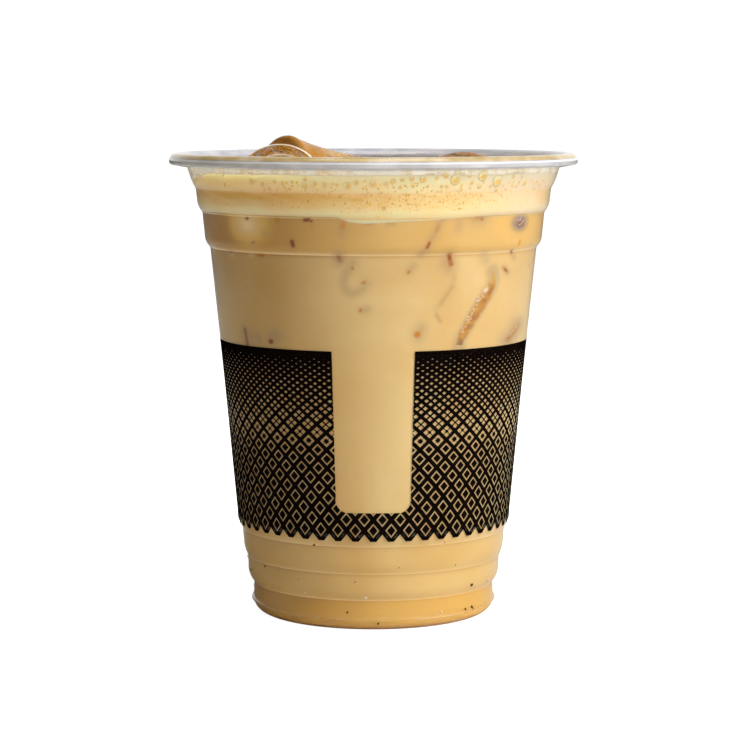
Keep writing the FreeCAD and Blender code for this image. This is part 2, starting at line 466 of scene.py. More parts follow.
def clear_plastic():
    """Clear thermoformed sheet; lamps and scattered light pass straight
    through to what is inside."""
    mat, nt, bsdf, out = new_material("clear_sheet")
    bsdf.inputs["Base Color"].default_value = (0.985, 0.99, 0.992, 1)
    bsdf.inputs["Transmission Weight"].default_value = 1.0
    bsdf.inputs["IOR"].default_value = 1.575
    p = place(nt)
    smear = noise(nt, place(nt, (1, 1, 0.25)), 55.0, 3.0)
    rough = remap(nt, smear, 0.35, 0.75, 0.03, 0.09)
    spot = nt.nodes.new("ShaderNodeSeparateXYZ")
    nt.links.new(p, spot.inputs[0])
    rough = math_node(nt, "ADD", rough, remap(nt, spot.outputs["Z"], 0.0015, 0.0045, 0.34, 0.0))
    nt.links.new(rough, bsdf.inputs["Roughness"])
    ripple = noise(nt, place(nt, (1, 1, 0.3)), 130.0, 2.0)
    nt.links.new(bump(nt, ripple, 0.00006, 0.6), bsdf.inputs["Normal"])
    clear = nt.nodes.new("ShaderNodeBsdfTransparent")
    path = nt.nodes.new("ShaderNodeLightPath")
    one = nt.nodes.new("ShaderNodeMixShader")
    two = nt.nodes.new("ShaderNodeMixShader")
    nt.links.new(path.outputs["Is Shadow Ray"], one.inputs[0])
    nt.links.new(bsdf.outputs[0], one.inputs[1])
    nt.links.new(clear.outputs[0], one.inputs[2])
    nt.links.new(path.outputs["Is Diffuse Ray"], two.inputs[0])
    nt.links.new(one.outputs[0], two.inputs[1])
    nt.links.new(clear.outputs[0], two.inputs[2])
    nt.links.new(two.outputs[0], out.inputs["Surface"])
    return mat


def latte_material():
    mat, nt, bsdf, out = new_material("milky_coffee")
    p = place(nt)
    swirl = noise(nt, place(nt, (1, 1, 0.75)), 26.0, 4.0, 0.55, 0.6)
    fine = noise(nt, p, 120.0, 3.0)
    base = mix_colour(nt, remap(nt, swirl, 0.34, 0.68), srgb(*LATTE_WARM), srgb(*LATTE_PALE))
    base = mix_colour(nt, remap(nt, fine, 0.3, 0.7, 0.0, 0.08), base, srgb(212, 168, 96))
    marks = nt.nodes.new("ShaderNodeAttribute")
    marks.attribute_name = "marks"
    split = nt.nodes.new("ShaderNodeSeparateColor")
    nt.links.new(marks.outputs["Color"], split.inputs[0])
    halo, amber, dark = split.outputs[0], split.outputs[1], split.outputs[2]
    tint = nt.nodes.new("ShaderNodeAttribute")
    tint.attribute_name = "tint"
    parts = nt.nodes.new("ShaderNodeSeparateColor")
    nt.links.new(tint.outputs["Color"], parts.inputs[0])
    gold, shade, milky_painted_light = parts.outputs[0], parts.outputs[1], parts.outputs[2]
    # tint channels: gold tone, partly painted shade and glow; painted shade; milky painted light, the crease highlights
    # and glows round the ice
    base = mix_colour(nt, gold, base, srgb(*LATTE_GOLD))
    base = mix_colour(nt, shade, base, srgb(*LATTE_SHADE))
    base = mix_colour(nt, milky_painted_light, base, srgb(246, 220, 164))
    base = mix_colour(nt, halo, base, srgb(164, 134, 98))
    base = mix_colour(nt, amber, base, srgb(198, 126, 10))
    base = mix_colour(nt, dark, base, srgb(130, 57, 0))
    nt.links.new(base, bsdf.inputs["Base Color"])
    # painted light: the milky patches, crease highlights, golden rings round the touching ice and the amber marks glow
    nt.links.new(base, bsdf.inputs["Emission Color"])
    lit = math_node(nt, "MULTIPLY", tint.outputs["Alpha"], 0.17)
    lit = math_node(nt, "ADD", lit, math_node(nt, "MULTIPLY", amber, 0.10))
    nt.links.new(math_node(nt, "ADD", math_node(nt, "MULTIPLY", milky_painted_light, 0.22), lit), bsdf.inputs["Emission Strength"])
    bsdf.inputs["Roughness"].default_value = 0.42
    bsdf.inputs["Specular IOR Level"].default_value = 0.06
    kept = math_node(nt, "MULTIPLY", math_node(nt, "SUBTRACT", 1.0, dark, clamp=True),
                     math_node(nt, "SUBTRACT", 1.0, math_node(nt, "MULTIPLY", amber, 0.8), clamp=True))
    nt.links.new(math_node(nt, "MULTIPLY", kept, 0.35), bsdf.inputs["Subsurface Weight"])
    bsdf.inputs["Subsurface Radius"].default_value = (1.0, 0.62, 0.34)
    bsdf.inputs["Subsurface Scale"].default_value = 0.0007
    return mat


def foam_material():
    mat, nt, bsdf, out = new_material("milk_foam")
    p = place(nt)
    tone = noise(nt, p, 60.0, 4.0, 0.6)
    base = mix_colour(nt, remap(nt, tone, 0.3, 0.72), srgb(*FOAM_DEEP), srgb(*FOAM_PALE))
    shade = nt.nodes.new("ShaderNodeAttribute")
    shade.attribute_name = "shade"
    split = nt.nodes.new("ShaderNodeSeparateColor")
    nt.links.new(shade.outputs["Color"], split.inputs[0])
    golden, pale, dots = split.outputs[0], split.outputs[1], split.outputs[2]
    base = mix_colour(nt, golden, base, srgb(*FOAM_GOLD))
    base = mix_colour(nt, pale, base, srgb(*FOAM_TOP))
    # painted shade: the side toward the key lamp is darkened by the shade alpha
    deeper = mix_colour(nt, 1.0, base, (0.87, 0.845, 1.0), "MULTIPLY")
    base = mix_colour(nt, shade.outputs["Alpha"], base, deeper)
    # fine bubbles: small, darker and more golden than the foam round them
    mask = noise(nt, p, 190.0, 2.0)
    height = None
    for scale, r0, r1, thin, strength in ((1500.0, 0.10, 0.34, 0.50, 0.45),
                                          (820.0, 0.08, 0.30, 0.55, 0.65),
                                          (420.0, 0.06, 0.30, 0.62, 0.80)):
        cell = voronoi(nt, p, scale)
        pick = nt.nodes.new("ShaderNodeSeparateColor")
        nt.links.new(cell.outputs["Color"], pick.inputs[0])
        size = remap(nt, pick.outputs[0], thin, 1.0, 0.0, r1, False)
        near = math_node(nt, "SUBTRACT", size, cell.outputs["Distance"])
        spot = remap(nt, near, 0.0, 0.10)
        spot = math_node(nt, "MULTIPLY", spot, dots)
        spot = math_node(nt, "MULTIPLY", spot, strength)
        base = mix_colour(nt, spot, base, srgb(*FOAM_BUBBLE))
        height = spot if height is None else math_node(nt, "ADD", height, spot)
    nt.links.new(base, bsdf.inputs["Base Color"])
    low = math_node(nt, "MULTIPLY", height, -1.0)
    nt.links.new(bump(nt, low, 0.00012, 0.5), bsdf.inputs["Normal"])
    bsdf.inputs["Roughness"].default_value = 0.5
    bsdf.inputs["Specular IOR Level"].default_value = 0.2
    bsdf.inputs["Subsurface Weight"].default_value = 0.9
    bsdf.inputs["Subsurface Radius"].default_value = (1.0, 0.82, 0.5)
    bsdf.inputs["Subsurface Scale"].default_value = 0.0045
    # light that soaks down through the head from its open top
    nt.links.new(base, bsdf.inputs["Emission Color"])
    bsdf.inputs["Emission Strength"].default_value = 0.085
    return mat


def ink_material():
    mat, nt, bsdf, out = new_material("dark_print")
    p = place(nt)
    grain = noise(nt, p, 900.0, 3.0)
    base = mix_colour(nt, remap(nt, grain, 0.3, 0.7), (0.0030, 0.0016, 0.0012), (0.0060, 0.0034, 0.0026))
    nt.links.new(base, bsdf.inputs["Base Color"])
    nt.links.new(remap(nt, grain, 0.3, 0.7, 0.55, 0.68), bsdf.inputs["Roughness"])
    nt.links.new(bump(nt, grain, 0.00001, 0.4), bsdf.inputs["Normal"])
    bsdf.inputs["Specular IOR Level"].default_value = 0.0
    return mat


def coloured_material(name, attribute, rough, spec, sss=0.0, scale=0.001, wobble=0.0, glow=0.0, uneven=0.7):
    """A finish whose colour is carried by the mesh and broken up by noise."""
    mat, nt, bsdf, out = new_material(name)
    a = nt.nodes.new("ShaderNodeAttribute")
    a.attribute_name = attribute
    p = place(nt)
    grain = noise(nt, p, 1400.0, 3.0)
    dull = mix_colour(nt, 1.0, a.outputs["Color"], (0.80, 0.76, 0.70), "MULTIPLY")
    base = mix_colour(nt, remap(nt, grain, 0.35, 0.75, 0.0, uneven), a.outputs["Color"], dull)
    nt.links.new(base, bsdf.inputs["Base Color"])
    bsdf.inputs["Roughness"].default_value = rough
    bsdf.inputs["Specular IOR Level"].default_value = spec
    if sss:
        bsdf.inputs["Subsurface Weight"].default_value = sss
        bsdf.inputs["Subsurface Radius"].default_value = (1.0, 0.6, 0.3)
        bsdf.inputs["Subsurface Scale"].default_value = scale
    if glow:
        nt.links.new(base, bsdf.inputs["Emission Color"])
        bsdf.inputs["Emission Strength"].default_value = glow
    if wobble:
        nt.links.new(bump(nt, grain, wobble, 0.6), bsdf.inputs["Normal"])
    return mat


def ice_material():
    """Melting ice stained and spattered by coffee: amber, tan, grey and dark
    patches, wet, with some light coming through."""
    mat, nt, bsdf, out = new_material("coffee_ice")
    p = place(nt)
    a = nt.nodes.new("ShaderNodeAttribute")
    a.attribute_name = "ice"
    split = nt.nodes.new("ShaderNodeSeparateColor")
    nt.links.new(a.outputs["Color"], split.inputs[0])
    rough_part, painted_glare, pale = split.outputs[0], split.outputs[1], split.outputs[2]
    b = nt.nodes.new("ShaderNodeAttribute")
    b.attribute_name = "stain"
    parts = nt.nodes.new("ShaderNodeSeparateColor")
    nt.links.new(b.outputs["Color"], parts.inputs[0])
    dark, light, warm = parts.outputs[0], parts.outputs[1], parts.outputs[2]
    n1 = noise(nt, p, 170.0, 4.0, 0.6, 0.8)
    base = mix_colour(nt, remap(nt, n1, 0.3, 0.7), srgb(170, 116, 42), srgb(190, 140, 66))
    n2 = noise(nt, p, 520.0, 4.0, 0.65, 1.2)
    n3 = noise(nt, place(nt, (1.0, 1.0, 2.2)), 330.0, 5.0, 0.72, 2.2)
    n5 = noise(nt, place(nt, (2.0, 1.0, 1.0)), 700.0, 3.0, 0.6, 1.0)
    mott = mix_colour(nt, remap(nt, n3, 0.40, 0.58), srgb(124, 86, 36), srgb(186, 150, 86))
    mott = mix_colour(nt, remap(nt, n2, 0.54, 0.64), mott, srgb(176, 166, 168))
    mott = mix_colour(nt, remap(nt, n5, 0.60, 0.68, 0.0, 0.85), mott, srgb(206, 130, 20))
    mott = mix_colour(nt, remap(nt, n2, 0.38, 0.30, 0.0, 0.9), mott, srgb(78, 50, 18))
    base = mix_colour(nt, rough_part, base, mott)
    base = mix_colour(nt, warm, base, srgb(172, 104, 16))
    base = mix_colour(nt, dark, base, srgb(88, 50, 12))
    base = mix_colour(nt, light, base, srgb(208, 168, 92))
    base = mix_colour(nt, pale, base, srgb(232, 216, 190))
    # painted highlight and glare: near white along the cut end's edge and inside the bore
    base = mix_colour(nt, painted_glare, base, srgb(252, 250, 248))
    nt.links.new(base, bsdf.inputs["Base Color"])
    n4 = noise(nt, p, 900.0, 3.0)
    nt.links.new(remap(nt, n4, 0.3, 0.7, 0.10, 0.32), bsdf.inputs["Roughness"])
    tall = math_node(nt, "ADD", n4, math_node(nt, "MULTIPLY", n3, 1.5))
    nt.links.new(bump(nt, tall, 0.00018, 0.5), bsdf.inputs["Normal"])
    bsdf.inputs["IOR"].default_value = 1.31
    bsdf.inputs["Subsurface Weight"].default_value = 0.4
    bsdf.inputs["Subsurface Radius"].default_value = (1.0, 0.6, 0.3)
    bsdf.inputs["Subsurface Scale"].default_value = 0.0012
    bsdf.inputs["Specular IOR Level"].default_value = 0.15
    bsdf.inputs["Coat Weight"].default_value = 0.05
    bsdf.inputs["Coat Roughness"].default_value = 0.06
    return mat


LATTE_WARM = (214, 174, 105)
LATTE_PALE = (227, 196, 134)
LATTE_GOLD = (216, 164, 64)
LATTE_SHADE = (180, 116, 30)
FOAM_DEEP = (246, 214, 142)
FOAM_PALE = (252, 228, 170)
FOAM_GOLD = (232, 186, 88)
FOAM_TOP = (253, 237, 196)
FOAM_BUBBLE = (206, 146, 40)

# ===================================================================== cup ==
SEG = 256
CREST_LOW = 109.25


def make_cup():
    wall = softened(sampled(OUTSIDE[:NECK_ITEMS], 5.0, 3.0), CREASES)
    wall = [q for q in wall if q[1] < 107.9]
    # the curl of the rim, closed below but for a shallow groove
    groove = [(float(outer_r(107.95)), 107.95), (44.92, 108.12), (45.03, 108.25), (45.20, 108.31), (45.40, 108.30),
              (45.56, 108.22), (45.66, 108.08), (45.72, 107.93), (45.80, 107.82)]
    inner = sampled(offset_path(OUTSIDE, WALL), 6.0, 3.0)
    # closed outline, anticlockwise seen with r to the right and z up
    outline = wall + groove + inner[::-1]
    verts, faces = turned(outline, SEG)
    pile = Pile()
    pile.add(verts, faces)
    return pile.build("cup_sheet", clear_plastic(), "cup")


def make_rim_reflection_skin():
    """Painted reflections on a thin skin inside the clear rim, which also glows a little:
    cream along the crest where the foam shows through, a cool line, a painted highlight line, grey below, pale grey
    inside."""
    mat, nt, bsdf, out = new_material("rim_painted_reflections")
    a = nt.nodes.new("ShaderNodeAttribute")
    a.attribute_name = "rim"
    streak = noise(nt, place(nt, (1, 1, 3.0)), 150.0, 3.0)
    base = mix_colour(nt, remap(nt, streak, 0.35, 0.75, 0.0, 0.35), a.outputs["Color"], srgb(250, 248, 246))
    nt.links.new(base, bsdf.inputs["Base Color"])
    fac = remap(nt, streak, 0.2, 0.5, 0.85, 1.0)
    nt.links.new(math_node(nt, "MULTIPLY", a.outputs["Alpha"], fac), bsdf.inputs["Alpha"])
    bsdf.inputs["Roughness"].default_value = 0.5
    bsdf.inputs["Specular IOR Level"].default_value = 0.1
    nt.links.new(base, bsdf.inputs["Emission Color"])
    bsdf.inputs["Emission Strength"].default_value = 0.12
    shown = [q for q in sampled(offset_path(OUTSIDE, WALL - 0.07), 6.0, 0.12) if q[1] > 108.35 and q[0] > 44.9]
    deep = [q for q in sampled(offset_path(OUTSIDE, WALL - 0.17), 6.0, 0.12) if q[1] > 108.45 and q[0] > 44.95]
    loop = np.array(shown[::-1] + deep)
    rows, cols = len(loop), 360
    ang = np.arange(cols) * 2 * np.pi / cols
    crest = loop[np.argmax(loop[:, 1]), 0]
    verts = np.stack([loop[:, :1] * np.sin(ang), -loop[:, :1] * np.cos(ang), np.repeat(loop[:, 1:], cols, 1)], -1)
    c = np.ones((rows, 4))
    # painted reflections and a painted highlight: foam cream, a cool line, a bright highlight line, room grey, pale
    # grey
    cream, cool, bright, grey, pale = [np.array(srgb(*q)) for q in
                                       ((190, 164, 108), (146, 152, 176), (220, 220, 224), (190, 188, 190), (184, 186, 202))]
    for i, (r, z) in enumerate(loop):
        if r > crest + 0.1:
            if z > 109.93:
                c[i, :3], c[i, 3] = cream, 0.92
            elif z > 109.74:
                c[i, :3], c[i, 3] = cool, 0.85
            elif z > 109.38:
                c[i, :3], c[i, 3] = bright, 0.95
            else:
                c[i, :3], c[i, 3] = grey, 0.80
        else:
            c[i, :3] = pale
            c[i, 3] = 0.85 * float(smooth(np.array((z - 108.9) / 0.9)))
    colours = np.repeat(c[:, None, :], cols, 1).reshape(-1, 4)
    k = np.arange(cols)
    k1 = (k + 1) % cols
    last = (rows - 1) * cols
    pile = Pile()
    pile.add(verts.reshape(-1, 3), [grid_faces(rows, cols), np.stack([last + k, last + k1, k1, k], -1)], colours)
    return pile.build("rim_painted_reflections", mat, attribute="rim")


# =================================================================== latte ==
# Where sunk ice touches the wall.  Points are (degrees round from the front,
# height); widths in mm: core, halo; strengths: amber, dark, halo.
MARKS = [
    ([(21.9, 96.3), (20.8, 94.7), (20.1, 93.6), (18.5, 91.6), (17.8, 90.7), (16.8, 89.7), (15.7, 88.7)], 0.30, 1.0, 0.12, 0.0, 0.45),
    ([(21.2, 95.3), (20.6, 94.1)], 0.40, 1.0, 0.45, 0.05, 0.4),
    ([(18.3, 91.4), (17.6, 90.4)], 0.30, 0.8, 0.80, 0.75, 0.4),
    ([(28.4, 95.8), (28.5, 94.7)], 0.6, 1.2, 0.05, 0.0, 0.35),
    ([(34.8, 96.8), (37.4, 96.6)], 0.45, 1.6, 0.35, 0.10, 0.45),
    ([(37.2, 96.6)], 0.35, 0.9, 0.6, 0.55, 0.4),
    ([(57.5, 91.0), (57.1, 90.0)], 0.28, 0.6, 0.75, 0.0, 0.0),
    ([(58.4, 90.5)], 0.16, 0.4, 0.7, 0.0, 0.0),
    ([(60.0, 90.4)], 0.16, 0.4, 0.6, 0.0, 0.0),
    ([(54.3, 88.9), (55.0, 88.2)], 0.24, 0.7, 0.5, 0.65, 0.3),
    ([(55.0, 88.2), (56.9, 87.0)], 0.18, 0.6, 0.1, 0.0, 0.45),
    ([(51.0, 84.9), (53.8, 83.7)], 0.32, 0.9, 0.5, 0.1, 0.45),
    ([(51.9, 84.5), (52.9, 84.1)], 0.28, 0.7, 0.6, 0.8, 0.4),
    ([(71.5, 84.6)], 0.22, 0.4, 0.8, 0.1, 0.0),
    ([(26.1, 88.5), (26.5, 87.4), (27.0, 86.4)], 0.50, 1.3, 0.55, 0.55, 0.55),
    ([(26.2, 88.2), (26.4, 87.6)], 0.34, 0.8, 0.4, 0.9, 0.2),
    ([(24.9, 86.8), (26.3, 85.6)], 0.70, 1.5, 0.15, 0.0, 0.50),
    ([(27.4, 85.7), (28.1, 84.6), (28.4, 83.1), (28.0, 81.3)], 0.20, 0.8, 0.05, 0.0, 0.28),
    ([(28.0, 81.3), (26.8, 80.1), (25.2, 78.6), (23.7, 77.2)], 0.28, 0.8, 0.26, 0.0, 0.36),
    ([(23.7, 77.2), (22.0, 76.1)], 0.2, 0.7, 0.0, 0.0, 0.26),
    ([(22.3, 74.9), (24.0, 73.3)], 0.22, 0.6, 0.32, 0.05, 0.35),
    ([(11.9, 84.8)], 0.34, 0.8, 0.9, 0.35, 0.3),
    ([(12.2, 85.0), (13.5, 86.2)], 0.45, 1.1, 0.05, 0.0, 0.42),
    ([(40.2, 88.2), (41.7, 86.8)], 0.6, 1.2, 0.0, 0.0, 0.38),
    ([(15.6, 70.4)], 0.70, 1.5, 0.85, 0.22, 0.45),
    ([(16.1, 69.9), (17.0, 71.8)], 0.5, 1.4, 0.15, 0.0, 0.45),
    ([(66.5, 71.7), (65.4, 71.0)], 0.35, 1.3, 0.1, 0.0, 0.6),
    ([(65.0, 70.6), (63.5, 69.8), (60.6, 68.6), (58.2, 67.7)], 0.62, 1.9, 0.30, 0.30, 0.75),
    ([(62.3, 69.4), (60.0, 68.4)], 0.40, 0.9, 0.3, 0.35, 0.0),
    ([(-45.0, 96.55)], 0.36, 0.8, 0.35, 0.65, 0.2),
    ([(-32.2, 96.4)], 0.50, 1.1, 0.75, 0.0, 0.0),
    ([(-22.3, 96.6), (-20.9, 96.7)], 0.36, 0.8, 0.5, 0.85, 0.2),
    ([(-19.9, 96.4)], 0.26, 0.6, 0.4, 0.85, 0.2),
    ([(-19.9, 96.4), (-20.0, 94.8)], 0.14, 0.5, 0.2, 0.0, 0.2),
    ([(-9.6, 95.7), (-9.7, 95.2)], 0.6, 1.1, 0.55, 0.0, 0.25),
    ([(-9.8, 95.2), (-10.0, 93.7)], 0.6, 1.2, 0.05, 0.0, 0.30),
    ([(-1.5, 96.2)], 0.5, 0.9, 0.1, 0.0, 0.5),
    ([(4.6, 95.8), (6.4, 95.9)], 0.25, 0.6, 0.1, 0.0, 0.4),
    ([(-27.15, 91.6), (-26.85, 90.75)], 0.42, 0.9, 0.45, 0.95, 0.35),
    ([(-37.8, 93.3)], 0.4, 0.9, 0.1, 0.0, 0.3),
    ([(-43.0, 91.0)], 0.24, 0.7, 0.2, 0.6, 0.4),
    ([(-57.5, 88.3)], 0.30, 0.7, 0.1, 0.5, 0.4),
    ([(-42.3, 88.1), (-40.4, 88.1)], 0.36, 0.8, 0.9, 0.15, 0.1),
    ([(-11.6, 88.2), (-11.1, 87.6)], 0.55, 1.4, 0.15, 0.35, 0.65),
    ([(-11.5, 88.2)], 0.30, 0.7, 0.2, 0.6, 0.3),
    ([(-6.9, 86.8), (-8.5, 85.2), (-9.7, 83.7), (-10.1, 82.2), (-9.3, 80.7), (-7.3, 79.9), (-5.0, 80.4), (-3.4, 81.3), (-2.8, 82.2)], 0.6, 1.15, 0.06, 0.0, 0.42),
    ([(-7.0, 85.7)], 0.27, 0.6, 0.8, 0.35, 0.2),
    ([(-3.7, 82.4), (-2.9, 82.5)], 0.25, 0.6, 0.85, 0.15, 0.1),
    ([(-3.2, 82.4), (-1.2, 82.2)], 0.4, 0.8, 0.0, 0.0, 0.30),
    ([(-4.4, 76.1)], 0.36, 0.8, 0.85, 0.2, 0.2),
    ([(-4.1, 76.1), (-1.9, 76.4)], 0.4, 0.9, 0.0, 0.0, 0.42),
    ([(-53.3, 70.4), (-52.9, 68.9), (-52.5, 66.8)], 0.32, 0.9, 0.1, 0.55, 0.5),
    ([(-50.1, 68.5)], 0.8, 1.9, 0.0, 0.0, 0.35),
    ([(-46.3, 69.0), (-45.4, 68.0)], 0.35, 0.9, 0.0, 0.0, 0.5),
    ([(-39.6, 68.1)], 0.48, 1.0, 0.3, 1.0, 0.4),
    ([(-38.6, 68.8), (-37.0, 69.6)], 0.7, 1.9, 0.0, 0.0, 0.50),
]
# The long amber edge of one cube: points with a half width each.
LONG_EDGE = [(45.2, 84.4, 0.10), (45.9, 83.4, 0.30), (46.2, 82.1, 0.55), (45.2, 80.5, 0.80), (43.4, 79.0, 1.00),
             (41.3, 77.3, 1.02), (39.0, 75.3, 1.02), (37.2, 73.6, 0.95), (35.0, 71.4, 0.85), (33.2, 69.6, 0.72),
             (32.5, 68.4, 0.62), (32.3, 67.3, 0.50)]
# The end of a cube pressed flat to the wall near the top.
ROUND_END = (56.5, 95.25)


def more_marks():
    """The same kind of marks round the sides and back."""
    extra = []
    r = np.random.default_rng(77)
    for k in range(34):
        th = 82.0 + 196.0 * (k + r.random()) / 34.0
        z = 68.0 + 28.0 * r.random() ** 0.8
        kind = r.random()
        if kind < 0.45:
            w = 0.25 + 0.35 * r.random()
            extra.append(([(th, z)], w, w * 2.2, 0.5 * r.random() + 0.2, 0.6 * r.random(), 0.4 + 0.3 * r.random()))
        elif kind < 0.8:
            a = abs(r.uniform(-1.0, 1.0)) + 0.2
            length = r.uniform(2.0, 7.0)
            pts = [(th + a * t * length * 1.4 + 0.8 * math.sin(3 * t), z - length * t) for t in (0, 0.35, 0.7, 1.0)]
            extra.append((pts, 0.3 + 0.2 * r.random(), 0.9 + 0.4 * r.random(), 0.3 * r.random(), 0.1 * r.random(), 0.4 + 0.2 * r.random()))
        else:
            a = abs(r.uniform(-1.5, 1.5)) + 0.3
            length = r.uniform(8.0, 15.0)
            z = max(z, 66.5 + length)
            pts = [(th + a * t * length * 0.8, z - length * t + 0.6 * math.sin(4 * t)) for t in np.linspace(0, 1, 6)]
            extra.append((pts, 0.4, 1.9, 0.16, 0.0, 0.42))
    return extra


def distance_to(pts, th, z, r):
    """Distance in mm over the wall from each point to a run of points."""
    best = np.full(th.shape, 1e9)
    k = np.pi / 180.0
    if len(pts) == 1:
        pts = [pts[0], pts[0]]
    for (t0, z0), (t1, z1) in zip(pts[:-1], pts[1:]):
        lean = max(math.cos(math.radians(t0)), 0.4) if abs(t0) < 75.0 else 1.0
        dx = ((th - t0 + 180.0) % 360.0 - 180.0) * k * r * lean
        dz = z - z0
        ex, ez = (t1 - t0) * k * r * lean, z1 - z0
        ll = ex * ex + ez * ez + 1e-12
        s = np.clip((dx * ex + dz * ez) / ll, 0.0, 1.0)
        best = np.minimum(best, np.hypot(dx - s * ex, dz - s * ez))
    return best


def latte_wall_level(th):
    """Height of the coffee's upper edge at the wall."""
    a = np.radians(th)
    d = (th + 180.0) % 360.0 - 180.0
    sag = np.interp(d, [-11.5, -9.5, -7.5, -3.0, 3.0, 8.0, 13.0, 20.0, 30.0, 38.0, 43.0],
                    [0.0, 0.45, 1.0, 1.35, 1.20, 1.0, 0.9, 0.62, 0.36, 0.14, 0.0])
    return (LATTE_WALL_Z + 0.30 - sag
            + 0.05 * np.sin(5 * a + 0.4) + 0.03 * np.sin(11 * a + 1.0))


def uneven_columns():
    """Angles round the wall: close together where the ice shows most."""
    front = np.arange(-72.0, 72.0, 0.45)
    rest = np.linspace(72.0, 288.0, 270, endpoint=False)
    return np.concatenate([front, rest])


